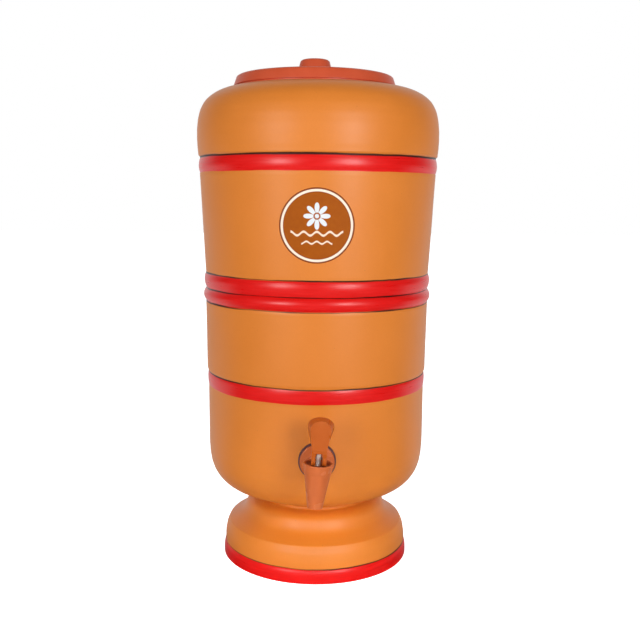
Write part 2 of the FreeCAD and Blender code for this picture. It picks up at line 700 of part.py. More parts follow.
# ---- float valve ----
def make_float_bracket():
    """Screws on the candle's stem; its nozzle points down and its two ears carry the float's arm."""
    body = ring(
        (CANDLE_STEM_R, SOCKET_TOP),
        (SOCKET_R, SOCKET_TOP),
        (SOCKET_R, SOCKET_END),
        (NOZZLE_R, SOCKET_END),
        (NOZZLE_R, NOZZLE_TIP),
        (NOZZLE_BORE_R, NOZZLE_TIP),
        (NOZZLE_BORE_R, CANDLE_STEM_END),
        (CANDLE_STEM_R, CANDLE_STEM_END),
    )
    inner = ARM_HALF + EAR_GAP
    ear_low = FLOAT_PIVOT_Z - EAR_HALF
    ears = []
    for low_x in (-inner - EAR_T, inner):
        low = V(low_x, FLOAT_PIVOT_Y - EAR_HALF, ear_low)
        ear = block(low, V(low_x + EAR_T, EAR_ROOT_Y, EAR_ROOT_Z))
        tip = [e for e in ear.Edges if e.BoundBox.ZMax < ear_low + 1 and e.BoundBox.XLength > 1]
        ears.append(rounded(ear, 2.4, tip))
    body = body.fuse(ears).removeSplitter()
    y = FLOAT_PIVOT_Y
    z = FLOAT_PIVOT_Z
    pin_hole = rod(FLOAT_PIN_R, V(-SOCKET_R, y, z), V(SOCKET_R, y, z))
    bore = rod(CANDLE_STEM_R, V(0, 0, CANDLE_STEM_END), V(0, 0, SOCKET_TOP + 1))
    return body.cut(pin_hole).cut(bore)


def make_float_pin():
    half = ARM_HALF + EAR_GAP + EAR_T
    return rod(FLOAT_PIN_R, V(-half, FLOAT_PIVOT_Y, FLOAT_PIVOT_Z), V(half, FLOAT_PIVOT_Y, FLOAT_PIVOT_Z))


def make_float_arm():
    """The arm as it hangs in an empty chamber; a shelf near the pivot carries the valve's pad."""
    y = FLOAT_PIVOT_Y
    z = FLOAT_PIVOT_Z
    boss = rod(ARM_BOSS_R, V(-ARM_HALF, y, z), V(ARM_HALF, y, z))
    bar = block(V(-ARM_HALF, y - ARM_T / 2, z - FLOAT_REACH - ARM_TIP), V(ARM_HALF, y + ARM_T / 2, z))
    arm = boss.fuse(bar).removeSplitter()
    return arm.cut(rod(FLOAT_PIN_R + PIN_PLAY, V(-SOCKET_R, y, z), V(SOCKET_R, y, z)))


def make_float_pad():
    """Rubber, on the side of the arm that turns upwards; it meets the nozzle when the arm is level."""
    side = FLOAT_PIVOT_Y + ARM_T / 2
    z = FLOAT_PIVOT_Z + FLOAT_PIVOT_Y
    thickness = NOZZLE_TIP - FLOAT_PIVOT_Z - ARM_T / 2 - PAD_GAP
    return rod(PAD_R, V(0, side, z), V(0, side + thickness, z))


def make_float():
    """A sealed drum with a slot that the arm's end is pushed into."""
    z = FLOAT_PIVOT_Z - FLOAT_REACH
    drum = rod(FLOAT_R, V(0, FLOAT_PIVOT_Y - FLOAT_T / 2, z), V(0, FLOAT_PIVOT_Y + FLOAT_T / 2, z))
    drum = rounded(drum, FLOAT_ROUND, [e for e in drum.Edges if e.BoundBox.YLength < 1])
    low = V(-ARM_HALF, FLOAT_PIVOT_Y - ARM_T / 2, z - ARM_TIP)
    return drum.cut(block(low, V(ARM_HALF, FLOAT_PIVOT_Y + ARM_T / 2, z + 2 * FLOAT_R)))


PIECES = {
    "lower_chamber": make_lower_chamber,
    "upper_chamber": make_upper_chamber,
    "front_label": make_front_label,
    "lid": make_lid,
    "lid_knob": make_lid_knob,
    "tap_body": make_tap_body,
    "tap_outer_gasket": make_tap_outer_gasket,
    "tap_inner_gasket": make_tap_inner_gasket,
    "tap_back_nut": make_tap_back_nut,
    "tap_bonnet": make_tap_bonnet,
    "tap_seal": make_tap_seal,
    "tap_stem": make_tap_stem,
    "tap_lever_pin": make_tap_lever_pin,
    "tap_lever": make_tap_lever,
    "candle_dome": make_candle_dome,
    "candle_carbon": make_candle_carbon,
    "candle_base": make_candle_base,
    "candle_upper_washer": make_candle_upper_washer,
    "candle_lower_washer": make_candle_lower_washer,
    "candle_nut": make_candle_nut,
    "float_bracket": make_float_bracket,
    "float_pin": make_float_pin,
    "float_arm": make_float_arm,
    "float_pad": make_float_pad,
    "float": make_float,
}

os.makedirs("parts", exist_ok=True)
for name, make in PIECES.items():
    piece = make()
    if len(piece.Solids) != 1 or not piece.isValid():
        raise SystemExit(f"{name}: {len(piece.Solids)} solids, valid {piece.isValid()}")
    piece.Solids[0].exportStep(f"parts/{name}.step")
    print(f"{name}: {piece.Volume / 1000:.2f} cm3")
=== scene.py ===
"""Finishes of a two-chamber clay water filter with a lever tap.

Lengths are in millimetres until a mesh, a matrix or a texture is made.  The wheel tree, the lamps, the floor
and the camera use metres.
"""
import json
import math

import bmesh
import bpy
import numpy as np
from mathutils import Matrix, Vector
from mathutils.bvhtree import BVHTree


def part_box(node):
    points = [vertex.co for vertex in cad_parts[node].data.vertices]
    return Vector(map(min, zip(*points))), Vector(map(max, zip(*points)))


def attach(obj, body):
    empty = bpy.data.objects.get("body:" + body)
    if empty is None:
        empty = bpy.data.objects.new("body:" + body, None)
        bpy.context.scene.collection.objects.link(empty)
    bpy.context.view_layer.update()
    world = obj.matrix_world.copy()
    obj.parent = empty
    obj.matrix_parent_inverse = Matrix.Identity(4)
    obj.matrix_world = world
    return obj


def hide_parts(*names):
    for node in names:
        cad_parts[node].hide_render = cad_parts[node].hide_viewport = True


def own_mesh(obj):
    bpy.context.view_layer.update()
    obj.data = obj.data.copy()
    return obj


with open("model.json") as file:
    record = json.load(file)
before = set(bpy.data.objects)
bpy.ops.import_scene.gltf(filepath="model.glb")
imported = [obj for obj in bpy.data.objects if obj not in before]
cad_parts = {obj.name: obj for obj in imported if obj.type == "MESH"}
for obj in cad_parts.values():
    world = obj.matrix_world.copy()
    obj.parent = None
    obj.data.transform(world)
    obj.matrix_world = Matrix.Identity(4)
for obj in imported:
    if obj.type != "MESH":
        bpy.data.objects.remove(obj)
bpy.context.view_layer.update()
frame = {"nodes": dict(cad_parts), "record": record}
BODY_OF = {node: body for body, nodes in frame["record"]["behaviour"]["bodies"].items() for node in nodes}
MM = 0.001

# ---- clay: heights and radii ----
FOOT_BAND_TOP = 13.7
FOOT_ARRIS = 35.6
NECK = 62.8
LOWER_BAND_BASE = 180.5
LOWER_BAND_TOP = 193.5
LOWER_BEAD_BASE = 266.6
JOINT = 279.3
UPPER_BEAD_TOP = 293.6
UPPER_BAND_BASE = 392.6
UPPER_BAND_TOP = 406.2
LID_SEAT = 475.0
FOOT_R = 95.7
RECESS_R = FOOT_R - 9.2
RECESS_DEPTH = 14.0
NECK_R = 57.0
BOWL_R = 110.6
LOWER_TOP_R = 112.8
UPPER_BASE_R = 112.6
UPPER_TOP_R = 117.9
SHOULDER_R = 120.4
LOWER_BEAD_R = 115.0
UPPER_BEAD_R = 114.1
BEAD_VALLEY_R = 112.0
MOUTH_R = 73.5
WALL = 9.5
LOWER_MOUTH_R = BOWL_R - WALL
SPIGOT_R = LOWER_MOUTH_R - 1.0
SPIGOT_END = JOINT - 12.0
STEM_HOLE_R = 7.5
TAP_HOLE_R = 9.0
UPPER_FLOOR = 281.0
LOWER_FLOOR = 78.0
FOOT_CEILING = 65.0
LINE = 0.8
LINE_DEPTH = 0.4

# ---- how the wheel leaves the clay: lumps and rings in metres, and the share of the rings on each face ----
THROWN = {"Unevenness": 0.0005, "Uneven Size": 0.085, "Ripple Depth": 0.0004, "Ripple Pitch": 0.009}
RINGS_OUTSIDE = 0.1
RINGS_INSIDE = 1.0

# ---- paint on the clay: low and high edge of each enamel band, middle and width of each dark line ----
BANDS = ((-9.0, 13.8), (180.5, 193.8), (266.4, 294.0), (392.6, 406.9))
# The line at the joint, 279.3, is partly the pot's own dark line and partly painted shade for the groove where
# the two chambers meet.
LINES = ((14.1, 1.0), (194.3, 1.3), (265.9, 0.9), (279.3, 0.9), (294.5, 1.1), (407.4, 1.7))
# Softness of their edges, how far the edges wander, and how far a full or an empty brush moves a line's.
BAND_EDGE = 0.25
LINE_EDGE = 0.4
WANDER = 0.4
LOAD = 0.35

# ---- label, lid and knob ----
LABEL_R = 33.6
LABEL_Z = 344.4
LABEL_TURN = -1.0
LABEL_T = 0.25
LABEL_SUNK = -0.1
RING_INNER = 30.2
RING_OUTER = 32.3
LID_R = 80.5
LID_EDGE_R = 77.6
LID_EDGE = 486.5
LID_CROWN = 490.0
LID_SHIFT = -3.6
LID_T = 2.4
LID_HOLE_R = 4.0
LID_FLAT_R = 19.6
KNOB_R = 17.8
KNOB_TOP_R = 10.2
KNOB_TOP = 504.0

# ---- drawing on the label; a ripple is its height, swing, pitch, half width and half thickness ----
INK_EDGE = 0.25
FLOWER_UP = 8.5
PETALS = 8
PETAL_REACH = 12.0
PETAL_FULLNESS = 0.55
PETAL_START = 3.2
HEART_R = 1.9
RIPPLES = ((-7.0, 1.7, 11.7, 23.4, 1.0), (-15.0, 1.1, 9.2, 13.8, 0.75))

# ---- tap ----
TAP_Z = 128.0
TAP_LEAN = 4.0
TAP_REACH = 145.0
GASKET_R = 17.5
GASKET_T = 4.8
GASKET_BORE_R = 8.1
INNER_GASKET_R = 14.0
INNER_GASKET_T = 3.9
CUP_BORE_R = 11.5
CUP_LEDGE = 132.0
BONNET_TOP = 134.5
SEAT_Z = 117.5
STEM_R = 2.3
PIN_Z = 141.0
STEM_TOP = PIN_Z + 4.3

# ---- filter candle ----
CANDLE_R = 27.0
CANDLE_TOP = 384.0
CANDLE_STEM_R = 5.7
CANDLE_STEM_BORE_R = 3.0
CANDLE_STEM_END = 243.0
CANDLE_CUP_R = 30.0
CANDLE_WALL = 8.0
WASHER_R = 15.0
WASHER_BORE_R = 5.8
WASHER_T = 3.0
PAD_R = 3.5

# ---- fineness of the meshes: points round a piece, and the longest run along its outline ----
CLAY_ROUND = 288
LID_ROUND = 192
PIECE_ROUND = 96
SMALL_ROUND = 48
CLAY_STEP = 3.5
LID_STEP = 8.0
CANDLE_STEP = 4.0
SEAL_STEP = 1.5
MERGE_DISTANCE = 0.00001
WELD_DISTANCE = 2e-6
FLAT_ANGLE = 0.6

# ---- floor, studio and camera, in metres and degrees ----
WHITE = (1.0, 1.0, 1.0, 1.0)
PAPER = (0.92, 0.92, 0.92, 1.0)
FLOOR_HALF = 8.0
DAY = 0.36
# Along Y, where gloss begins to see the floor and sees it fully, and how bright.  Then the same for the sky,
# by the Y of the way it looks, and how bright the open front is.
MIRROR_FROM = -0.05
MIRROR_TO = 0.15
MIRRORED = 0.85
BEHIND_FROM = 0.35
BEHIND_TO = 0.85
FRONT_GLOSS = 0.02
SENSOR = 36.0
FOCAL_LENGTH = 49.21
CAMERA_PLACE = (-0.0121, -0.8942, 0.3699)
CAMERA_TURN = -1.0
CAMERA_DOWN = 8.02
CAMERA_ROLL = 0.511
REFLECTOR_SPREAD = 17.0

# ---- names of the nodes used most ----
SUM = "ShaderNodeMath"
VECTOR_SUM = "ShaderNodeVectorMath"
SPREAD = "ShaderNodeMapRange"
BLEND = "ShaderNodeMix"


# ---- shader and mesh helpers ----
def paint(code):
    """An sRGB hex colour as linear RGBA."""
    channels = [int(code[i:i + 2], 16) / 255 for i in (1, 3, 5)]
    return tuple(c / 12.92 if c <= 0.04045 else ((c + 0.055) / 1.055) ** 2.4 for c in channels) + (1.0,)


def add(tree, kind, inputs=None, **settings):
    """A node with its settings.  Each input takes a value, a socket or a node, whose first output it gets.  A
    number as the key counts the sockets that are in use with those settings."""
    node = tree.nodes.new(kind)
    for key, value in settings.items():
        setattr(node, key, value)
    in_use = [socket for socket in node.inputs if socket.enabled]
    for key, value in (inputs or {}).items():
        socket = in_use[key] if isinstance(key, int) else next(s for s in in_use if s.name == key)
        if isinstance(value, bpy.types.Node):
            value = next(output for output in value.outputs if output.enabled)
        if isinstance(value, bpy.types.NodeSocket):
            tree.links.new(value, socket)
        else:
            socket.default_value = value
    return node


def new_finish(name):
    material = bpy.data.materials.new(name)
    material.use_nodes = True
    material.node_tree.nodes.clear()
    return material, material.node_tree


def grain(tree, size, low=0.0, high=1.0, span=(0.3, 0.7), stretch=(1.0, 1.0, 1.0), detail=4.0,
          roughness=0.55):
    """Noise over the piece with lumps about size millimetres across, times stretch along each axis.  The part
    of the noise inside span runs from low to high."""
    place = add(tree, "ShaderNodeTexCoord").outputs["Object"]
    lumps = tuple(1.0 / (size * MM * s) for s in stretch)
    place = add(tree, VECTOR_SUM, {0: place, 1: lumps}, operation="MULTIPLY")
    noise = add(tree, "ShaderNodeTexNoise", {
        "Vector": place, "Scale": 1.0, "Detail": detail, "Roughness": roughness,
    })
    return add(tree, SPREAD, {
        "Value": noise, "From Min": span[0], "From Max": span[1], "To Min": low, "To Max": high,
    })


def brushed_round(tree, height, low, high, soft, load=None):
    """1 where the height is between low and high millimetres, fading over soft millimetres on either side of
    each edge.  load says how far the paint spreads past its edges from place to place."""
    off = add(tree, SUM, {0: height, 1: (low + high) / 2}, operation="SUBTRACT")
    off = add(tree, SUM, {0: off}, operation="ABSOLUTE")
    if load is not None:
        off = add(tree, SUM, {0: off, 1: load}, operation="SUBTRACT")
    half = (high - low) / 2
    return add(tree, SPREAD, {
        "Value": off, "From Min": half - soft, "From Max": half + soft, "To Min": 1.0, "To Max": 0.0,
    })


def surface(tree, colour, roughness, bumps=(), **sockets):
    """The shader and its output.  Each bump is (height, depth in millimetres, strength)."""
    inputs = {"Base Color": colour, "Roughness": roughness}
    for height, depth, strength in bumps:
        bump = {"Height": height, "Distance": depth * MM, "Strength": strength}
        if "Normal" in inputs:
            bump["Normal"] = inputs["Normal"]
        inputs["Normal"] = add(tree, "ShaderNodeBump", bump)
    inputs.update({key.replace("_", " "): value for key, value in sockets.items()})
    shader = add(tree, "ShaderNodeBsdfPrincipled", inputs)
    add(tree, "ShaderNodeOutputMaterial", {"Surface": shader})


# ---- finishes ----
def painted_clay():
    """Fired clay under two coats of satin paint, with bands brushed on in gloss enamel and a thin dark line
    along each.  The brush leaves edges that wander a little, lines that thin and thicken with its load of
    paint, and faint streaks that run round the pot, coarser than bristles leave them so that they show.  The
    paint keeps a faint orange peel."""
    material, tree = new_finish("fired clay, satin paint, brushed enamel bands")
    place = add(tree, "ShaderNodeTexCoord").outputs["Object"]
    place = add(tree, VECTOR_SUM, {0: place, "Scale": 1.0 / MM}, operation="SCALE")
    height = add(tree, "ShaderNodeSeparateXYZ", {0: place}).outputs["Z"]
    wander = grain(tree, 45.0, -WANDER, WANDER, detail=2.0)
    height = add(tree, SUM, {0: height, 1: wander}, operation="ADD")
    load = grain(tree, 70.0, -LOAD, LOAD, detail=2.0)

    cloudy = grain(tree, 70.0, detail=3.0)
    speckle = grain(tree, 1.6, span=(0.3, 0.75), detail=5.0, roughness=0.7)
    coat = add(tree, BLEND, {0: cloudy, 1: paint("#E08027"), 2: paint("#E6852B")}, data_type="RGBA")
    fine = add(tree, SUM, {0: speckle, 1: 0.3}, operation="MULTIPLY")
    coat = add(tree, BLEND, {0: fine, 1: coat, 2: paint("#D47721")}, data_type="RGBA")
    flecks = grain(tree, 2.4, 0.0, 0.5, span=(0.80, 0.83), detail=1.0)
    coat = add(tree, BLEND, {0: flecks, 1: coat, 2: paint("#B4641F")}, data_type="RGBA")
    streaks = grain(tree, 1.3, stretch=(22.0, 22.0, 1.0), detail=4.0)
    enamel = add(tree, BLEND, {0: streaks, 1: paint("#DE0703"), 2: paint("#EA0A05")}, data_type="RGBA")

    colour = coat
    shares = []
    for low, high in BANDS:
        share = brushed_round(tree, height, low, high, BAND_EDGE)
        shares.append(share)
        colour = add(tree, BLEND, {0: share, 1: colour, 2: enamel}, data_type="RGBA")
    # The line at the joint is partly painted shade for the groove between the chambers.
    for middle, width in LINES:
        share = brushed_round(tree, height, middle - width / 2, middle + width / 2, LINE_EDGE, load)
        colour = add(tree, BLEND, {0: share, 1: colour, 2: paint("#33150E")}, data_type="RGBA")

    enamelled = shares[0]
    for share in shares[1:]:
        enamelled = add(tree, SUM, {0: enamelled, 1: share}, operation="MAXIMUM")
    coat_gloss = add(tree, SPREAD, {"Value": cloudy, "To Min": 0.40, "To Max": 0.48})
    enamel_gloss = add(tree, SPREAD, {"Value": streaks, "To Min": 0.27, "To Max": 0.37})
    gloss = add(tree, BLEND, {0: enamelled, 1: coat_gloss, 2: enamel_gloss})
    brushed = add(tree, SUM, {0: streaks, 1: enamelled}, operation="MULTIPLY")
    surface(tree, colour, gloss, [(cloudy, 0.2, 0.25), (speckle, 0.025, 0.35), (brushed, 0.05, 0.5)])
    return material


def bare_clay():
    """The unpainted inside and underside: porous terracotta with fine grit and darker iron specks."""
    material, tree = new_finish("bare terracotta")
    cloudy = grain(tree, 40.0)
    grit = grain(tree, 0.9, detail=6.0, roughness=0.7)
    specks = grain(tree, 0.9, 0.0, 0.5, span=(0.58, 0.72), detail=6.0, roughness=0.7)
    colour = add(tree, BLEND, {0: cloudy, 1: paint("#B5683F"), 2: paint("#C97F53")}, data_type="RGBA")
    colour = add(tree, BLEND, {0: specks, 1: colour, 2: paint("#8A4628")}, data_type="RGBA")
    surface(tree, colour, 0.9, [(cloudy, 0.25, 0.3), (grit, 0.06, 0.6)])
    return material


def moulded(name, light, dark, gloss, mould_grain=0.02):
    """An injection-moulded thermoplastic: even colour, a slight flow pattern and the mould's fine grain, drawn
    coarser than it is so that it shows."""
    material, tree = new_finish(name)
    flow = grain(tree, 22.0, detail=2.0)
    fine = grain(tree, 0.5, detail=3.0)
    colour = add(tree, BLEND, {0: flow, 1: paint(dark), 2: paint(light)}, data_type="RGBA")
    roughness = add(tree, SPREAD, {"Value": flow, "To Min": gloss - 0.03, "To Max": gloss + 0.03})
    surface(tree, colour, roughness, [(fine, mould_grain, 0.25)])
    return material


def soft_rubber(name, light, dark, gloss):
    """Cured rubber or silicone: dull, with a bloom of fine dust in its pores, which are drawn coarser than
    they are."""
    material, tree = new_finish(name)
    bloom = grain(tree, 3.0)
    pores = grain(tree, 0.35, detail=2.0)
    colour = add(tree, BLEND, {0: bloom, 1: paint(dark), 2: paint(light)}, data_type="RGBA")
    roughness = add(tree, SPREAD, {"Value": bloom, "To Min": gloss, "To Max": gloss + 0.12})
    surface(tree, colour, roughness, [(pores, 0.012, 0.5)])
    return material


def drawn_steel():
    """Stainless wire cut to length: fine marks along its drawing, coarser than they are so that they show."""
    material, tree = new_finish("drawn stainless steel")
    marks = grain(tree, 0.3, stretch=(25.0, 1.0, 1.0), detail=3.0)
    colour = add(tree, BLEND, {0: marks, 1: paint("#9C9EA2"), 2: paint("#C9CACC")}, data_type="RGBA")
    roughness = add(tree, SPREAD, {"Value": marks, "To Min": 0.22, "To Max": 0.38})
    surface(tree, colour, roughness, [(marks, 0.004, 0.4)], Metallic=1.0)
    return material


def candle_ceramic():
    """Diatomite ceramic: chalky off-white with faint grey clouds, and with pores drawn far coarser than they
    are."""
    material, tree = new_finish("diatomite filter ceramic")
    cloudy = grain(tree, 18.0)
    pores = grain(tree, 0.7, detail=5.0, roughness=0.7)
    colour = add(tree, BLEND, {0: cloudy, 1: paint("#EDE9DF"), 2: paint("#DDD7C9")}, data_type="RGBA")
    surface(tree, colour, 0.85, [(pores, 0.05, 0.5)])
    return material


def carbon_granules():
    """Activated carbon: black angular granules about a millimetre across."""
    material, tree = new_finish("activated carbon")
    place = add(tree, "ShaderNodeTexCoord").outputs["Object"]
    cells = add(tree, "ShaderNodeTexVoronoi", {"Vector": place, "Scale": 0.9 / MM})
    # Each granule is lighter in its middle and darker toward its rim: painted shade in the gaps where granules
    # meet.
    granule_rim_shade = add(tree, SPREAD, {"Value": cells, "From Min": 0.1, "From Max": 0.7})
    colour = add(tree, BLEND, {0: granule_rim_shade, 1: paint("#2B2B2C"), 2: paint("#0E0E0F")}, data_type="RGBA")
    surface(tree, colour, 0.55, [(cells, 0.5, 0.8)])
    return material


def petals_and_heart(tree, flat):
    """A ring of petals and the dot in its middle, each as its share of ink."""
    heart = add(tree, VECTOR_SUM, {0: flat, 1: (0.0, FLOWER_UP, 0.0)}, operation="SUBTRACT")
    axes = add(tree, "ShaderNodeSeparateXYZ", {0: heart}).outputs
    reach = add(tree, VECTOR_SUM, {0: heart}, operation="LENGTH")
    angle = add(tree, SUM, {0: axes["X"], 1: axes["Y"]}, operation="ARCTAN2")
    lobes = add(tree, SUM, {0: angle, 1: PETALS / 2}, operation="MULTIPLY")
    lobes = add(tree, SUM, {0: lobes}, operation="COSINE")
    lobes = add(tree, SUM, {0: lobes}, operation="ABSOLUTE")
    lobes = add(tree, SUM, {0: lobes, 1: PETAL_FULLNESS}, operation="POWER")
    past = add(tree, SUM, {0: lobes, 1: -PETAL_REACH, 2: reach}, operation="MULTIPLY_ADD")
    petals = add(tree, SPREAD, {
        "Value": past, "From Min": -INK_EDGE, "From Max": INK_EDGE, "To Min": 1.0, "To Max": 0.0,
    })
    clear = add(tree, SPREAD, {
        "Value": reach, "From Min": PETAL_START - INK_EDGE, "From Max": PETAL_START + INK_EDGE,
    })
    petals = add(tree, SUM, {0: petals, 1: clear}, operation="MULTIPLY")
    dot = add(tree, SPREAD, {
        "Value": reach, "From Min": HEART_R - INK_EDGE, "From Max": HEART_R + INK_EDGE, "To Min": 1.0,
        "To Max": 0.0,
    })
    return petals, dot


def water_ripple(tree, across, up, base, swing, pitch, half_width, half_thick):
    """A wavy stroke at height base, as its share of ink."""
    wave = add(tree, SUM, {0: across, 1: math.tau / pitch}, operation="MULTIPLY")
    wave = add(tree, SUM, {0: wave}, operation="COSINE")
    wave = add(tree, SUM, {0: wave, 1: swing, 2: base}, operation="MULTIPLY_ADD")
    off = add(tree, SUM, {0: up, 1: wave}, operation="SUBTRACT")
    stroke = brushed_round(tree, off, -half_thick, half_thick, INK_EDGE)
    length = brushed_round(tree, across, -half_width, half_width, INK_EDGE)
    return add(tree, SUM, {0: stroke, 1: length}, operation="MULTIPLY")


def printed_label():
    """A vinyl sticker with a slight sheen: brown disc, cream ring, dark edge, and a plain flower over two
    ripples in pale ink."""
    material, tree = new_finish("printed vinyl label")
    chart = add(tree, "ShaderNodeUVMap", uv_map="label_face")
    flat = add(tree, VECTOR_SUM, {0: chart, 1: (0.5, 0.5, 0.0)}, operation="SUBTRACT")
    flat = add(tree, VECTOR_SUM, {0: flat, "Scale": 2 * LABEL_R}, operation="SCALE")
    axes = add(tree, "ShaderNodeSeparateXYZ", {0: flat}).outputs
    radius = add(tree, VECTOR_SUM, {0: flat}, operation="LENGTH")
    worn = grain(tree, 6.0)
    colour = add(tree, BLEND, {0: worn, 1: paint("#A35003"), 2: paint("#AA5605")}, data_type="RGBA")
    for start, ink in ((RING_INNER - 0.8, "#93450A"), (RING_INNER, "#FBEAD6"), (RING_OUTER, "#8C4520")):
        share = add(tree, SPREAD, {
            "Value": radius, "From Min": start - INK_EDGE, "From Max": start + INK_EDGE,
        })
        colour = add(tree, BLEND, {0: share, 1: colour, 2: paint(ink)}, data_type="RGBA")
    for share in petals_and_heart(tree, flat):
        colour = add(tree, BLEND, {0: share, 1: colour, 2: paint("#E4E9EC")}, data_type="RGBA")
    for ripple in RIPPLES:
        share = water_ripple(tree, axes["X"], axes["Y"], *ripple)
        colour = add(tree, BLEND, {0: share, 1: colour, 2: paint("#F8E2CB")}, data_type="RGBA")
    surface(tree, colour, 0.6, [(worn, 0.02, 0.2)], Specular_IOR_Level=0.15)
    return material


CLAY = painted_clay()
BARE_CLAY = bare_clay()
# Polypropylene from a satin mould: a little waxy, with soft, broad highlights.
LID_PLASTIC = moulded("polypropylene, satin, brick red", "#DF5B33", "#D7542C", 0.46, 0.03)
# ABS from a polished mould: hard and even, with small bright highlights.
TAP_PLASTIC = moulded("ABS, gloss, clay orange", "#CE6C39", "#C66432", 0.26)
# The lever's orange is darker than the body's: painted shade, taken from the lever's shaded front face.
LEVER_PLASTIC = moulded("ABS, gloss, deep orange", "#C35E1C", "#BA5717", 0.28)
# ABS from a blasted mould: duller, because nobody sees it.  Its brown is painted shade for the bottom of the
# tap's cup, where this disc lies.
CUP_SHADE_PLASTIC = moulded("ABS, satin, brown", "#8A4524", "#7A3C20", 0.4)
# Acetal without colouring: a warm white with the sheen of a slippery plastic.
WHITE_PLASTIC = moulded("acetal, natural white", "#FAF8F2", "#F1EEE7", 0.35)
# Polyethylene blown hollow: milky, with no sharp reflections.
FLOAT_PLASTIC = moulded("polyethylene, milky blue", "#CBD6DE", "#BFCBD5", 0.45)
# Rubber cut from sheet: matt and uneven in tone.
RUBBER = soft_rubber("brown rubber", "#6E474B", "#4A3034", 0.6)
# Silicone cured in its mould: pale and cloudy, smoother than the rubber.
SILICONE = soft_rubber("milky silicone", "#DEDAD2", "#CFCAC0", 0.4)
STEEL = drawn_steel()
FILTER_CERAMIC = candle_ceramic()
CARBON = carbon_granules()
LABEL_PRINT = printed_label()

# The finishes of the pieces that keep their CAD shape.  The turned ones name theirs.
SLOT_FINISH = {
    "tap_plastic": TAP_PLASTIC, "lever_plastic": LEVER_PLASTIC, "white_plastic": WHITE_PLASTIC,
    "float_plastic": FLOAT_PLASTIC, "steel": STEEL,
}
SLOT_OF = {item["node"]: item["material_slot"] for item in frame["record"]["subparts"]}


# ---- outlines ----
def arc(middle, end):
    return ("arc", middle, end)


def curve(*points):
    return ("curve", points)


def arc_points(start, middle, end, steps=10):
    """Points after start on the circle through three points."""
    (ax, ay), (bx, by), (cx, cy) = start, middle, end
    a, b, c = ax * ax + ay * ay, bx * bx + by * by, cx * cx + cy * cy
    d = 2 * (ax * (by - cy) + bx * (cy - ay) + cx * (ay - by))
    ux = (a * (by - cy) + b * (cy - ay) + c * (ay - by)) / d
    uy = (a * (cx - bx) + b * (ax - cx) + c * (bx - ax)) / d
    first = math.atan2(ay - uy, ax - ux)
    halfway = (math.atan2(by - uy, bx - ux) - first) % math.tau
    sweep = (math.atan2(cy - uy, cx - ux) - first) % math.tau
    if halfway > sweep:
        sweep -= math.tau
    radius = math.hypot(ax - ux, ay - uy)
    turns = [first + sweep * i / steps for i in range(1, steps + 1)]
    return [(ux + radius * math.cos(t), uy + radius * math.sin(t)) for t in turns]


def curve_points(start, points, steps=8):
    """Points after start on the natural cubic spline through them all."""
    p = np.array([start, *points], float)
    h = np.linalg.norm(np.diff(p, axis=0), axis=1)
    n = len(p)
    matrix = np.eye(n)
    right = np.zeros((n, 2))
    for i in range(1, n - 1):
        matrix[i, i - 1:i + 2] = h[i - 1], 2 * (h[i - 1] + h[i]), h[i]
        right[i] = 6 * ((p[i + 1] - p[i]) / h[i] - (p[i] - p[i - 1]) / h[i - 1])
    m = np.linalg.solve(matrix, right)
    result = []
    for i in range(n - 1):
        for k in range(1, steps + 1):
            u = h[i] * k / steps
            v = h[i] - u
            point = (m[i] * v ** 3 + m[i + 1] * u ** 3) / (6 * h[i])
            point += (p[i] / h[i] - m[i] * h[i] / 6) * v + (p[i + 1] / h[i] - m[i + 1] * h[i] / 6) * u
            result.append((max(0.0, float(point[0])), float(point[1])))
    return result


def outline(start, *steps):
    """A chain of (radius, height) points from straight, arc and curve steps."""
    points = [start]
    for step in steps:
        if step[0] == "arc":
            points += arc_points(points[-1], step[1], step[2])
        elif step[0] == "curve":
            points += curve_points(points[-1], step[1])
        else:
            points.append(step)
    return points


def spaced(points, longest):
    """The chain with every run split into pieces no longer than longest."""
    result = [points[0]]
    for a, b in zip(points, points[1:]):
        parts = max(1, math.ceil(math.dist(a, b) / longest))
        for i in range(1, parts + 1):
            result.append((a[0] + (b[0] - a[0]) * i / parts, a[1] + (b[1] - a[1]) * i / parts))
    return result


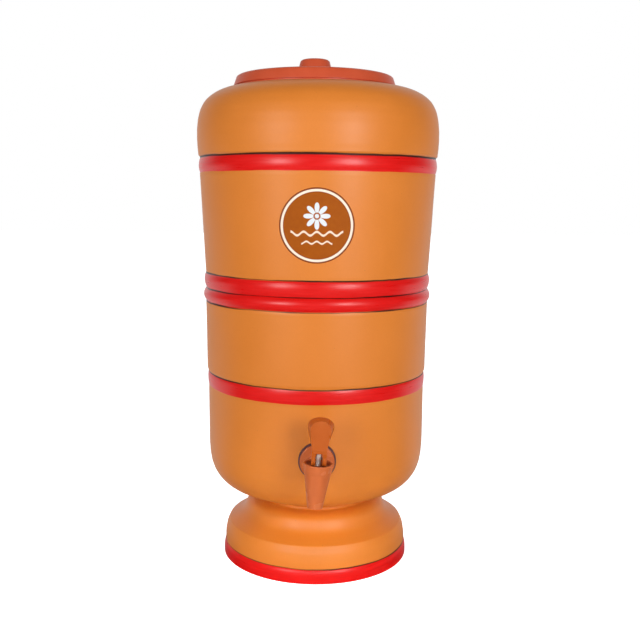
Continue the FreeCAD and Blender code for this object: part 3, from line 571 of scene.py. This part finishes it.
# ---- the wheel: one tree turns every round piece ----
def wheel_tree():
    """Turns a chain of points round Z on a grid, one row for each point of the chain.  Unevenness moves the
    wall in and out in broad lumps, as hands do, and Ripple is the throwing rings, where the chain asks for
    them."""
    tree = bpy.data.node_groups.new("wheel-turned piece", "GeometryNodeTree")
    sockets = (
        ("Outline", "Geometry", None), ("Outline Points", "Int", 8), ("Steps Round", "Int", PIECE_ROUND),
        ("Unevenness", "Float", 0.0), ("Uneven Size", "Float", 0.09), ("Ripple Depth", "Float", 0.0),
        ("Ripple Pitch", "Float", 0.009), ("Seed", "Int", 1), ("Finish", "Material", None),
        ("Bare Finish", "Material", None),
    )
    for name, kind, value in sockets:
        socket = tree.interface.new_socket(name, in_out="INPUT", socket_type="NodeSocket" + kind)
        if value is not None:
            socket.default_value = value
    tree.interface.new_socket("Piece", in_out="OUTPUT", socket_type="NodeSocketGeometry")
    given = add(tree, "NodeGroupInput").outputs

    # A grid one metre square: X says which point of the chain a corner takes, Y how far round it goes.
    columns = add(tree, SUM, {0: given["Steps Round"], 1: 1.0}, operation="ADD")
    grid = add(tree, "GeometryNodeMeshGrid", {"Vertices X": given["Outline Points"], "Vertices Y": columns})
    corner = add(tree, "ShaderNodeSeparateXYZ", {0: add(tree, "GeometryNodeInputPosition")}).outputs
    last = add(tree, SUM, {0: given["Outline Points"], 1: 0.5}, operation="SUBTRACT")
    row = add(tree, SPREAD, {
        "Value": corner["X"], "From Min": -0.5, "From Max": 0.5, "To Min": 0.5, "To Max": last,
    })
    angle = add(tree, SPREAD, {
        "Value": corner["Y"], "From Min": -0.5, "From Max": 0.5, "To Min": 0.0, "To Max": math.tau,
    })

    # What the chain says at that row: its place, whether it is bare and how deep its rings are.
    spot = add(tree, "GeometryNodeInputPosition")
    chain = add(tree, "GeometryNodeSampleIndex", {"Geometry": given["Outline"], "Value": spot, "Index": row},
                data_type="FLOAT_VECTOR")
    told = {}
    for name in ("ripple", "bare"):
        field = add(tree, "GeometryNodeInputNamedAttribute", {"Name": name}, data_type="FLOAT")
        told[name] = add(tree, "GeometryNodeSampleIndex",
                         {"Geometry": given["Outline"], "Value": field, "Index": row}, data_type="FLOAT")
    out_and_up = add(tree, "ShaderNodeSeparateXYZ", {0: chain}).outputs

    # Lumps and rings push the wall in or out, except beside the axis.
    plain = add(tree, "ShaderNodeVectorRotate", {"Vector": chain, "Angle": angle}, rotation_type="Z_AXIS")
    scale = add(tree, SUM, {0: 1.0, 1: given["Uneven Size"]}, operation="DIVIDE")
    lumps = add(tree, "ShaderNodeTexNoise", {
        "Vector": plain, "W": given["Seed"], "Scale": scale, "Detail": 1.0,
    }, noise_dimensions="4D")
    least = add(tree, SUM, {0: given["Unevenness"], 1: -1.0}, operation="MULTIPLY")
    lumps = add(tree, SPREAD, {"Value": lumps, "To Min": least, "To Max": given["Unevenness"]})
    rings = add(tree, SUM, {0: out_and_up["Z"], 1: given["Ripple Pitch"]}, operation="DIVIDE")
    rings = add(tree, SUM, {0: rings, 1: math.tau}, operation="MULTIPLY")
    rings = add(tree, SUM, {0: rings}, operation="SINE")
    depth = add(tree, SUM, {0: given["Ripple Depth"], 1: told["ripple"]}, operation="MULTIPLY")
    push = add(tree, SUM, {0: rings, 1: depth, 2: lumps}, operation="MULTIPLY_ADD")
    clear_of_axis = add(tree, SPREAD, {"Value": out_and_up["X"], "From Min": 0.0, "From Max": 0.02})
    push = add(tree, SUM, {0: push, 1: clear_of_axis}, operation="MULTIPLY")
    push = add(tree, "ShaderNodeCombineXYZ", {0: push})
    pushed = add(tree, VECTOR_SUM, {0: chain, 1: push}, operation="ADD")
    place = add(tree, "ShaderNodeVectorRotate", {"Vector": pushed, "Angle": angle}, rotation_type="Z_AXIS")

    marked = add(tree, "GeometryNodeStoreNamedAttribute", {
        "Geometry": grid, "Name": "bare", "Value": told["bare"],
    }, data_type="FLOAT", domain="POINT")
    shaped = add(tree, "GeometryNodeSetPosition", {"Geometry": marked, "Position": place})
    merged = add(tree, "GeometryNodeMergeByDistance", {"Geometry": shaped, "Distance": MERGE_DISTANCE})
    real = add(tree, "GeometryNodeRealizeInstances", {"Geometry": merged})
    finished = add(tree, "GeometryNodeSetMaterial", {"Geometry": real, "Material": given["Finish"]})
    bare = add(tree, "GeometryNodeInputNamedAttribute", {"Name": "bare"}, data_type="FLOAT")
    chosen = add(tree, "FunctionNodeCompare", {0: bare, 1: 0.5}, data_type="FLOAT", operation="GREATER_THAN")
    finished = add(tree, "GeometryNodeSetMaterial", {
        "Geometry": finished, "Selection": chosen, "Material": given["Bare Finish"],
    })
    add(tree, "NodeGroupOutput", {0: finished})
    return tree


WHEEL = wheel_tree()


def new_object(name, mesh):
    obj = bpy.data.objects.new(name, mesh)
    bpy.context.scene.collection.objects.link(obj)
    return obj


def evaluated(obj):
    """A plain mesh of the object with its modifiers, which takes the object's place."""
    bpy.context.view_layer.update()
    mesh = bpy.data.meshes.new_from_object(obj.evaluated_get(bpy.context.evaluated_depsgraph_get()))
    bpy.data.objects.remove(obj)
    return mesh


def outwards(mesh, crease=35.0):
    """Points the faces outwards, shades smooth and keeps edges sharper than crease degrees."""
    bm = bmesh.new()
    bm.from_mesh(mesh)
    bmesh.ops.dissolve_degenerate(bm, dist=1e-7, edges=bm.edges)
    bmesh.ops.recalc_face_normals(bm, faces=bm.faces)
    if bm.calc_volume(signed=True) < 0:
        bmesh.ops.reverse_faces(bm, faces=bm.faces)
    for face in bm.faces:
        face.smooth = True
    bm.to_mesh(mesh)
    bm.free()
    mesh.set_sharp_from_angle(angle=math.radians(crease))
    return mesh


def turned(points, finish, bare_finish=None, bare=None, ripple=None, round_steps=PIECE_ROUND, place=None,
           **hand):
    """The mesh of a chain of (radius, height) points turned round Z.  bare and ripple say, for a point's
    number in the chain, whether it is unpainted and how deep its throwing rings are.  hand holds inputs of
    the wheel."""
    mesh = bpy.data.meshes.new("outline")
    edges = [(i, i + 1) for i in range(len(points) - 1)]
    mesh.from_pydata([(r * MM, 0, z * MM) for r, z in points], edges, [])
    for name, rule in (("bare", bare), ("ripple", ripple)):
        values = [float(rule(i)) if rule else 0.0 for i in range(len(points))]
        mesh.attributes.new(name, "FLOAT", "POINT").data.foreach_set("value", values)
    obj = new_object("outline", mesh)
    modifier = obj.modifiers.new("wheel", "NODES")
    modifier.node_group = WHEEL
    values = {"Outline Points": len(points), "Steps Round": round_steps, "Finish": finish,
              "Bare Finish": bare_finish or finish, **hand}
    for item in WHEEL.interface.items_tree:
        if item.item_type == "SOCKET" and item.in_out == "INPUT" and item.name in values:
            modifier[item.identifier] = values[item.name]
    mesh = evaluated(obj)
    mesh.attributes.remove(mesh.attributes["bare"])
    if place is not None:
        mesh.transform(place)
    return outwards(mesh)


def finish_piece(name, mesh, *nodes):
    """Puts a finished mesh in the model in place of its CAD nodes."""
    obj = new_object(name, mesh)
    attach(obj, BODY_OF[nodes[0]])
    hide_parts(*nodes)
    return obj


def moved(x, y, z):
    return Matrix.Translation((x * MM, y * MM, z * MM))


LEAN = moved(0, 0, TAP_Z) @ Matrix.Rotation(math.radians(TAP_LEAN), 4, "Y") @ moved(0, 0, -TAP_Z)
AT_TAP = LEAN @ moved(0, -TAP_REACH, 0)
FORWARD = moved(0, 0, TAP_Z) @ Matrix.Rotation(math.radians(90), 4, "X")


# ---- clay chambers ----
lower_start = outline(
    (0.0, FOOT_CEILING),
    (36.0, FOOT_CEILING),
    arc((46.5, 61.5), (53.0, 53.0)),
    curve((66.0, 42.0), (80.0, 30.0), (RECESS_R, RECESS_DEPTH)),
    (RECESS_R, 0.8),
    (RECESS_R + 0.8, 0.0),
)
lower_outside = outline(
    lower_start[-1],
    (FOOT_R - 0.3, 0.0),
    (FOOT_R, 0.3),
    (FOOT_R, 4.0),
    arc((FOOT_R - 0.4, 9.3), (FOOT_R - 1.7, FOOT_BAND_TOP - LINE_DEPTH)),
    (FOOT_R - 1.5, FOOT_BAND_TOP + LINE),
    curve((94.0, 20.5), (93.1, 27.0), (91.6, 32.0), (89.8, FOOT_ARRIS)),
    curve((84.4, 38.8), (79.4, 41.7), (75.6, 44.8), (73.4, 48.1), (72.0, 51.6), (70.0, 55.2), (65.8, 58.3),
          (59.6, 60.2)),
    arc((NECK_R, NECK), (60.0, 65.8)),
    curve((75.0, 72.0), (87.4, 75.7), (98.8, 83.3), (106.2, 94.2), (109.5, 107.0), (BOWL_R, 122.0)),
    (BOWL_R, LOWER_BAND_BASE),
    arc((BOWL_R + 0.75, LOWER_BAND_TOP - 4.5), (BOWL_R + 0.2, LOWER_BAND_TOP)),
    (BOWL_R - 0.2, LOWER_BAND_TOP + LINE),
    arc((BOWL_R + 0.7, LOWER_BAND_TOP + 2.4), (BOWL_R + 1.2, LOWER_BAND_TOP + 5.0)),
    (LOWER_TOP_R, LOWER_BEAD_BASE - LINE),
    (LOWER_TOP_R - LINE_DEPTH, LOWER_BEAD_BASE),
    arc((LOWER_BEAD_R, LOWER_BEAD_BASE + 5.6), (BEAD_VALLEY_R, JOINT)),
)
lower_inside = outline(
    lower_outside[-1],
    (LOWER_MOUTH_R + 0.8, JOINT),
    (LOWER_MOUTH_R, JOINT - 0.8),
    (LOWER_MOUTH_R, 120.0),
    curve((98.8, 105.0), (91.0, 92.0), (78.0, 82.0), (52.0, LOWER_FLOOR)),
    (0.0, LOWER_FLOOR),
)
lower_start = spaced(lower_start, CLAY_STEP)
lower_outside = spaced(lower_outside, CLAY_STEP)[1:]
lower_inside = spaced(lower_inside, CLAY_STEP)[1:]
outside_from = len(lower_start)
inside_from = outside_from + len(lower_outside)
lower_mesh = turned(
    lower_start + lower_outside + lower_inside, CLAY, BARE_CLAY, round_steps=CLAY_ROUND,
    bare=lambda i: not outside_from - 1 <= i < inside_from - 1,
    ripple=lambda i: RINGS_OUTSIDE if outside_from <= i < inside_from else RINGS_INSIDE,
    Seed=4, **THROWN,
)

# The tap's hole is drilled from well inside the wall to well outside it.
HOLE_FROM = LOWER_MOUTH_R - 11.1
HOLE_TO = BOWL_R + 9.4
hole = [(0.0, HOLE_FROM), (TAP_HOLE_R, HOLE_FROM), (TAP_HOLE_R, HOLE_TO), (0.0, HOLE_TO)]
hole_tool = new_object("hole tool", turned(hole, BARE_CLAY, round_steps=SMALL_ROUND, place=FORWARD))
wall = new_object("wall", lower_mesh)
drill = wall.modifiers.new("tap hole", "BOOLEAN")
drill.operation = "DIFFERENCE"
drill.solver = "EXACT"
drill.object = hole_tool
lower_mesh = evaluated(wall)
bpy.data.objects.remove(hole_tool)
finish_piece("lower_clay_chamber", lower_mesh, "lower_chamber")

upper_outside = outline(
    (STEM_HOLE_R, SPIGOT_END),
    (SPIGOT_R - 2.0, SPIGOT_END),
    (SPIGOT_R, SPIGOT_END + 2.0),
    (SPIGOT_R, JOINT),
    (BEAD_VALLEY_R, JOINT),
    arc((UPPER_BEAD_R, JOINT + 7.1), (UPPER_BASE_R + LINE_DEPTH, UPPER_BEAD_TOP)),
    (UPPER_BASE_R - LINE_DEPTH / 2, UPPER_BEAD_TOP + LINE),
    (UPPER_BASE_R, UPPER_BEAD_TOP + 2 * LINE),
    (UPPER_TOP_R, UPPER_BAND_BASE - LINE),
    (UPPER_TOP_R - 0.2, UPPER_BAND_BASE),
    arc((UPPER_TOP_R + 1.1, UPPER_BAND_BASE + 7.4), (UPPER_TOP_R, UPPER_BAND_TOP)),
    (UPPER_TOP_R - LINE_DEPTH, UPPER_BAND_TOP + 2 * LINE),
    (119.2, UPPER_BAND_TOP + 3.4),
    curve((119.8, 416.0), (SHOULDER_R - 0.1, 427.0), (119.6, 441.0), (116.9, 453.0), (111.5, 462.4),
          (103.2, 469.0), (94.0, 473.0), (86.5, LID_SEAT - 0.2)),
    (MOUTH_R + 1.6, LID_SEAT),
    arc((MOUTH_R + 0.47, LID_SEAT - 0.47), (MOUTH_R, LID_SEAT - 1.6)),
)
upper_inside = outline(
    upper_outside[-1],
    (MOUTH_R, LID_SEAT - 8.5),
    curve((82.0, 464.5), (93.0, 460.0), (104.3, 450.5), (109.4, 438.0), (SHOULDER_R - WALL, 427.0),
          (UPPER_TOP_R - WALL, 392.0)),
    (103.6, 296.0),
    arc((101.2, 285.4), (91.5, UPPER_FLOOR)),
    (STEM_HOLE_R, UPPER_FLOOR),
    (STEM_HOLE_R, SPIGOT_END),
)
upper_outside = spaced(upper_outside, CLAY_STEP)
upper_inside = spaced(upper_inside, CLAY_STEP)[1:]
painted_from = next(i for i, (_, z) in enumerate(upper_outside) if z > JOINT + 0.1)
painted_to = len(upper_outside)
upper_mesh = turned(
    upper_outside + upper_inside, CLAY, BARE_CLAY, round_steps=CLAY_ROUND,
    bare=lambda i: not painted_from <= i < painted_to + 2,
    ripple=lambda i: RINGS_OUTSIDE if painted_from <= i < painted_to else RINGS_INSIDE,
    Seed=9, **THROWN,
)
finish_piece("upper_clay_chamber", upper_mesh, "upper_chamber")


# ---- label, laid on the wall as it is ----
def label_mesh(rings=16, steps=96):
    """A disc pressed on the curved wall, with a small edge of its own thickness."""
    corners = [v.co for v in upper_mesh.vertices]
    wall_tree = BVHTree.FromPolygons(corners, [p.vertices for p in upper_mesh.polygons])
    turn = Matrix.Rotation(math.radians(LABEL_TURN), 3, "Z")
    clear_of_wall = -200.0

    def on_wall(x, z, lift):
        start = turn @ Vector((x, clear_of_wall, z)) * MM
        spot, normal, _, _ = wall_tree.ray_cast(start, turn @ Vector((0, 1, 0)))
        return spot + normal * lift * MM

    bm = bmesh.new()
    flats = {}
    levels = [(LABEL_R * i / rings, LABEL_T) for i in range(1, rings + 1)]
    levels += [(LABEL_R + 0.12, LABEL_T * 0.5), (LABEL_R + 0.15, LABEL_SUNK)]
    centre = bm.verts.new(on_wall(0, LABEL_Z, LABEL_T))
    flats[centre] = (0.0, 0.0)
    loops = []
    for radius, lift in levels:
        loop = []
        for k in range(steps):
            a = math.tau * k / steps
            x, z = radius * math.cos(a), radius * math.sin(a)
            vert = bm.verts.new(on_wall(x, LABEL_Z + z, lift))
            flats[vert] = (x, z)
            loop.append(vert)
        loops.append(loop)
    under = bm.verts.new(on_wall(0, LABEL_Z, LABEL_SUNK))
    flats[under] = (0.0, 0.0)
    for k in range(steps):
        n = (k + 1) % steps
        bm.faces.new((centre, loops[0][n], loops[0][k]))
        for inner, outer in zip(loops, loops[1:]):
            bm.faces.new((inner[k], inner[n], outer[n], outer[k]))
        bm.faces.new((under, loops[-1][k], loops[-1][n]))
    chart = bm.loops.layers.uv.new("label_face")
    for face in bm.faces:
        for corner in face.loops:
            x, z = flats[corner.vert]
            corner[chart].uv = (0.5 + x / (2 * LABEL_R), 0.5 + z / (2 * LABEL_R))
    mesh = bpy.data.meshes.new("label")
    bm.to_mesh(mesh)
    bm.free()
    mesh.materials.append(LABEL_PRINT)
    return outwards(mesh, 60.0)


finish_piece("round_label", label_mesh(), "front_label")

# ---- lid and knob ----
ON_MOUTH = moved(LID_SHIFT, 0, 0)
SKIRT_R = MOUTH_R - 4.2
RIM_BASE = LID_SEAT + 1.9
lid_points = outline(
    (LID_HOLE_R, LID_CROWN),
    (LID_FLAT_R, LID_CROWN),
    curve((50.0, LID_CROWN - 1.3), (LID_EDGE_R - 5.1, LID_EDGE + 0.6)),
    arc((LID_EDGE_R - 0.7, LID_EDGE - 0.2), (LID_EDGE_R + 0.1, LID_EDGE - 0.9)),
    (LID_R - 0.1, RIM_BASE + 1.0),
    (LID_R, RIM_BASE + 0.6),
    (LID_R, RIM_BASE + 0.2),
    (LID_R - 0.2, RIM_BASE),
    (LID_R - 1.6, RIM_BASE),
    (LID_R - 1.6, LID_SEAT),
    (SKIRT_R, LID_SEAT),
    (SKIRT_R - 0.6, LID_SEAT - 8.7),
    (SKIRT_R - 0.9, LID_SEAT - 9.0),
    (SKIRT_R - LID_T + 0.3, LID_SEAT - 9.0),
    (SKIRT_R - LID_T, LID_SEAT - 8.7),
    (SKIRT_R - LID_T, LID_SEAT + LID_T),
    (LID_R - 2 * LID_T, LID_SEAT + LID_T),
    (LID_EDGE_R - LID_T, LID_EDGE - LID_T),
    curve((50.0, LID_CROWN - 1.3 - LID_T), (LID_FLAT_R, LID_CROWN - LID_T)),
    (LID_HOLE_R, LID_CROWN - LID_T),
    (LID_HOLE_R, LID_CROWN),
)
lid_mesh = turned(spaced(lid_points, LID_STEP), LID_PLASTIC, round_steps=LID_ROUND, place=ON_MOUTH)
finish_piece("lid_plate", lid_mesh, "lid")

BEVEL_Z = KNOB_TOP - 1.9
BEVEL_R = KNOB_R - 3.2
knob_points = outline(
    (0.0, KNOB_TOP),
    (KNOB_TOP_R, KNOB_TOP),
    arc((BEVEL_R - 1.4, KNOB_TOP - 0.6), (BEVEL_R, BEVEL_Z)),
    (KNOB_R, LID_CROWN),
    (KNOB_R - 2.2, LID_CROWN),
    (BEVEL_R - 2.2, BEVEL_Z - 2.2),
    (LID_HOLE_R, BEVEL_Z - 2.2),
    (LID_HOLE_R, LID_CROWN - LID_T - 1.5),
    (LID_HOLE_R - 1.0, LID_CROWN - LID_T - 2.8),
    (0.0, LID_CROWN - LID_T - 2.8),
)
finish_piece("lid_grip", turned(knob_points, LID_PLASTIC, place=ON_MOUTH), "lid_knob")


# ---- pieces that keep their CAD shape, with softened edges ----
def softened(node, edge, crease=30.0):
    """A copy of a CAD node's mesh with its loose triangles joined and its sharp edges rounded by edge
    millimetres."""
    mesh = frame["nodes"][node].data.copy()
    bm = bmesh.new()
    bm.from_mesh(mesh)
    bmesh.ops.remove_doubles(bm, verts=bm.verts, dist=WELD_DISTANCE)
    bmesh.ops.dissolve_limit(bm, angle_limit=math.radians(FLAT_ANGLE), verts=bm.verts, edges=bm.edges)
    if edge:
        shared = [e for e in bm.edges if len(e.link_faces) == 2]
        sharp = [e for e in shared if e.calc_face_angle(0.0) > math.radians(crease)]
        bmesh.ops.bevel(bm, geom=sharp, offset=edge * MM, offset_type="OFFSET", segments=2, profile=0.5,
                        affect="EDGES", clamp_overlap=True)
    bmesh.ops.triangulate(bm, faces=[f for f in bm.faces if len(f.verts) > 4])
    bm.to_mesh(mesh)
    bm.free()
    mesh.materials.clear()
    mesh.materials.append(SLOT_FINISH[SLOT_OF[node]])
    return outwards(mesh, crease)


for node, edge in (("tap_body", 0.25), ("tap_lever", 0.5), ("tap_back_nut", 0.3), ("tap_lever_pin", 0.2),
                   ("candle_nut", 0.25), ("float_bracket", 0.3), ("float_pin", 0.2), ("float_arm", 0.4)):
    finish_piece("moulded_" + node, softened(node, edge), node)
finish_piece("sealed_float", softened("float", 0.0), "float")

# ---- round pieces of the tap ----
OUTER_FACE = BOWL_R + 3.0
INNER_FACE = LOWER_MOUTH_R - 3.4
outer_gasket = outline(
    (GASKET_BORE_R, OUTER_FACE - GASKET_T),
    (GASKET_R, OUTER_FACE - GASKET_T),
    (GASKET_R, OUTER_FACE - 0.4),
    (GASKET_R - 0.4, OUTER_FACE),
    (GASKET_BORE_R, OUTER_FACE),
    (GASKET_BORE_R, OUTER_FACE - GASKET_T),
)
finish_piece("outer_gasket", turned(outer_gasket, RUBBER, place=FORWARD), "tap_outer_gasket")
inner_gasket = outline(
    (GASKET_BORE_R, INNER_FACE),
    (INNER_GASKET_R - 0.3, INNER_FACE),
    (INNER_GASKET_R, INNER_FACE + 0.3),
    (INNER_GASKET_R, INNER_FACE + INNER_GASKET_T),
    (GASKET_BORE_R, INNER_FACE + INNER_GASKET_T),
    (GASKET_BORE_R, INNER_FACE),
)
finish_piece("inner_gasket", turned(inner_gasket, RUBBER, place=FORWARD), "tap_inner_gasket")

bonnet = outline(
    (STEM_R + 0.1, BONNET_TOP),
    (CUP_BORE_R - 0.5, BONNET_TOP),
    (CUP_BORE_R, BONNET_TOP - 0.5),
    (CUP_BORE_R, BONNET_TOP - 1.5),
    (STEM_R + 0.1, BONNET_TOP - 1.5),
    (STEM_R + 0.1, BONNET_TOP),
)
# The disc's brown is painted shade for the floor of the tap's cup.
finish_piece("tap_guide_disc", turned(bonnet, CUP_SHADE_PLASTIC, place=AT_TAP), "tap_bonnet")

foot_of_stem = [
    (0.0, SEAT_Z + 1.6),
    (STEM_R + 1.0, SEAT_Z + 1.6),
    (STEM_R + 1.0, SEAT_Z + 4.0),
    (STEM_R, SEAT_Z + 4.6),
]
seal = outline(
    (0.0, SEAT_Z - 2.2),
    (3.4, SEAT_Z - 1.4),
    (4.1, SEAT_Z),
    (4.8, SEAT_Z),
    arc((5.9, SEAT_Z + 0.3), (6.4, SEAT_Z + 1.2)),
    (6.4, 124.6),
    (7.6, 126.4),
    (8.6, CUP_LEDGE),
    (CUP_BORE_R - 0.1, CUP_LEDGE),
    (CUP_BORE_R - 0.1, CUP_LEDGE + 1.0),
    (7.9, CUP_LEDGE + 1.0),
    (7.6, CUP_LEDGE + 0.6),
    (6.6, 127.2),
    (STEM_R, 125.6),
    *reversed(foot_of_stem),
)
seal_mesh = turned(spaced(seal, SEAL_STEP), SILICONE, place=AT_TAP)
seal_piece = finish_piece("tap_bell_seal", seal_mesh, "tap_seal")
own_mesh(seal_piece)

stem = outline(
    *foot_of_stem,
    (STEM_R, PIN_Z + STEM_R),
    arc((STEM_R - 0.4, PIN_Z + 3.7), (STEM_R - 1.2, STEM_TOP)),
    (0.0, STEM_TOP),
)
finish_piece("white_stem", turned(stem, WHITE_PLASTIC, round_steps=SMALL_ROUND, place=AT_TAP), "tap_stem")

# ---- round pieces of the filter candle ----
CUP_FLOOR = UPPER_FLOOR + WASHER_T
SEAT = CUP_FLOOR + 3.0
DOME_START = CANDLE_TOP - CANDLE_R
INNER = CANDLE_R - CANDLE_WALL
DIAGONAL = math.sqrt(0.5)
dome = outline(
    (INNER, SEAT),
    (CANDLE_R - 0.1, SEAT),
    (CANDLE_R - 0.1, DOME_START),
    arc((CANDLE_R * DIAGONAL, DOME_START + CANDLE_R * DIAGONAL), (0.0, CANDLE_TOP)),
    (0.0, CANDLE_TOP - CANDLE_WALL),
    arc((INNER * DIAGONAL, DOME_START + INNER * DIAGONAL), (INNER, DOME_START)),
    (INNER, SEAT),
)
finish_piece("ceramic_dome", turned(spaced(dome, CANDLE_STEP), FILTER_CERAMIC), "candle_dome")
CARBON_TOP = DOME_START - 6.0
carbon = [(0.0, SEAT), (INNER - 0.1, SEAT), (INNER - 0.1, CARBON_TOP), (0.0, CARBON_TOP)]
finish_piece("carbon_fill", turned(spaced(carbon, CANDLE_STEP), CARBON), "candle_carbon")
CUP_BRIM = CUP_FLOOR + 13.0
base_cup = outline(
    (CANDLE_STEM_BORE_R, SEAT),
    (CANDLE_R, SEAT),
    (CANDLE_R, CUP_BRIM - 0.4),
    (CANDLE_R + 0.4, CUP_BRIM),
    (CANDLE_CUP_R - 0.8, CUP_BRIM),
    (CANDLE_CUP_R, CUP_BRIM - 0.8),
    (CANDLE_CUP_R, CUP_FLOOR + 1.5),
    (CANDLE_CUP_R - 1.5, CUP_FLOOR),
    (CANDLE_STEM_R, CUP_FLOOR),
    (CANDLE_STEM_R, CANDLE_STEM_END + 0.8),
    (CANDLE_STEM_R - 0.8, CANDLE_STEM_END),
    (CANDLE_STEM_BORE_R, CANDLE_STEM_END),
    (CANDLE_STEM_BORE_R, SEAT),
)
finish_piece("candle_cup", turned(base_cup, WHITE_PLASTIC), "candle_base")
for name, node, low in (("upper_washer", "candle_upper_washer", UPPER_FLOOR),
                        ("lower_washer", "candle_lower_washer", SPIGOT_END - WASHER_T)):
    high = low + WASHER_T
    ring = outline(
        (WASHER_BORE_R, low),
        (WASHER_R - 0.3, low),
        (WASHER_R, low + 0.3),
        (WASHER_R, high - 0.3),
        (WASHER_R - 0.3, high),
        (WASHER_BORE_R, high),
        (WASHER_BORE_R, low),
    )
    finish_piece(name, turned(ring, RUBBER), node)
pad_low, pad_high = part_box("float_pad")
pad_reach = (pad_high.y - pad_low.y) / MM
pad = outline((0.0, 0.0), (PAD_R, 0.0), (PAD_R, pad_reach - 0.3), (PAD_R - 0.3, pad_reach), (0.0, pad_reach))
pad_centre = Matrix.Translation((0, pad_low.y, (pad_low.z + pad_high.z) / 2))
pad_place = pad_centre @ Matrix.Rotation(math.radians(-90), 4, "X")
finish_piece("valve_pad", turned(pad, SILICONE, round_steps=SMALL_ROUND, place=pad_place), "float_pad")


# ---- floor, light and camera ----
def bright_floor():
    """Matt white paper, lit so far up that the eye sees it white.  Gloss mirrors only the part of it that is
    behind the pot."""
    material, tree = new_finish("white paper")
    rays = add(tree, "ShaderNodeLightPath").outputs
    spot = add(tree, "ShaderNodeNewGeometry").outputs["Position"]
    spot = add(tree, "ShaderNodeSeparateXYZ", {0: spot}).outputs
    mirrored = add(tree, SPREAD, {
        "Value": spot["Y"], "From Min": MIRROR_FROM, "From Max": MIRROR_TO, "To Max": MIRRORED,
    })
    mirrored = add(tree, "ShaderNodeEmission", {"Color": WHITE, "Strength": mirrored})
    glow = add(tree, SUM, {0: rays["Is Camera Ray"], 1: rays["Is Transmission Ray"]}, operation="MAXIMUM")
    glow = add(tree, "ShaderNodeEmission", {"Color": WHITE, "Strength": glow})
    paper = add(tree, "ShaderNodeBsdfDiffuse", {"Color": PAPER})
    lit = add(tree, "ShaderNodeAddShader", {0: paper, 1: glow})
    either = add(tree, "ShaderNodeMixShader", {0: rays["Is Glossy Ray"], 1: lit, 2: mirrored})
    add(tree, "ShaderNodeOutputMaterial", {"Surface": either})
    return material


floor_mesh = bpy.data.meshes.new("floor")
floor_corners = [(x * FLOOR_HALF, y * FLOOR_HALF, 0) for x, y in ((-1, -1), (1, -1), (1, 1), (-1, 1))]
floor_mesh.from_pydata(floor_corners, [], [(0, 1, 2, 3)])
floor_mesh.materials.append(bright_floor())
new_object("floor", floor_mesh)


def white_studio():
    """White to the eye all round.  The pot is lit by a dimmer day, and gloss mirrors white from behind the
    pot only, as in a booth whose front is open and dark."""
    world = bpy.data.worlds.new("white studio")
    world.use_nodes = True
    sky = world.node_tree
    sky.nodes.clear()
    rays = add(sky, "ShaderNodeLightPath").outputs
    way = add(sky, "ShaderNodeTexCoord").outputs["Generated"]
    way = add(sky, "ShaderNodeSeparateXYZ", {0: way}).outputs
    behind = add(sky, SPREAD, {
        "Value": way["Y"], "From Min": BEHIND_FROM, "From Max": BEHIND_TO, "To Min": FRONT_GLOSS,
        "To Max": 1.0,
    })
    glossy = add(sky, BLEND, {0: rays["Is Glossy Ray"], 1: DAY, 2: behind})
    seen = add(sky, SUM, {0: rays["Is Camera Ray"], 1: rays["Is Transmission Ray"]}, operation="MAXIMUM")
    strength = add(sky, BLEND, {0: seen, 1: glossy, 2: 1.0})
    backdrop = add(sky, "ShaderNodeBackground", {"Color": WHITE, "Strength": strength})
    add(sky, "ShaderNodeOutputWorld", {"Surface": backdrop})
    return world


bpy.context.scene.world = white_studio()


def softbox(name, turn, distance, height, size, target, light, mirrored=True):
    """A rectangular lamp turn degrees round from the tap's side, which faces the height target on the pot's
    axis.  light sets how strong it is there, whatever the distance."""
    turn = math.radians(turn)
    place = Vector((distance * math.sin(turn), -distance * math.cos(turn), height))
    aim = Vector((0, 0, target)) - place
    lamp = bpy.data.lights.new(name, "AREA")
    lamp.shape = "RECTANGLE"
    lamp.size, lamp.size_y = size
    lamp.energy = light * math.pi * aim.length_squared
    obj = bpy.data.objects.new(name, lamp)
    obj.location = place
    obj.rotation_euler = aim.to_track_quat("-Z", "Y").to_euler()
    obj.visible_camera = False
    obj.visible_glossy = mirrored
    bpy.context.scene.collection.objects.link(obj)
    return lamp


softbox("softbox left", turn=-34.0, distance=1.2, height=0.52, size=(0.34, 0.44), target=0.18, light=0.89)
softbox("softbox right", turn=28.0, distance=1.2, height=0.52, size=(0.36, 0.44), target=0.18, light=1.17)
reflector = softbox("reflector at the foot", turn=-2.0, distance=1.0, height=0.34, size=(0.3, 0.16),
                    target=-0.03, light=0.016, mirrored=False)
reflector.spread = math.radians(REFLECTOR_SPREAD)

lens = bpy.data.cameras.new("camera")
lens.sensor_width = SENSOR
lens.lens = FOCAL_LENGTH
camera = bpy.data.objects.new("camera", lens)
camera.matrix_world = (
    Matrix.Translation(CAMERA_PLACE)
    @ Matrix.Rotation(math.radians(CAMERA_TURN), 4, "Z")
    @ Matrix.Rotation(math.radians(90 - CAMERA_DOWN), 4, "X")
    @ Matrix.Rotation(math.radians(CAMERA_ROLL), 4, "Z")
)
bpy.context.scene.collection.objects.link(camera)
bpy.context.scene.camera = camera
bpy.context.scene.view_settings.view_transform = "Standard"
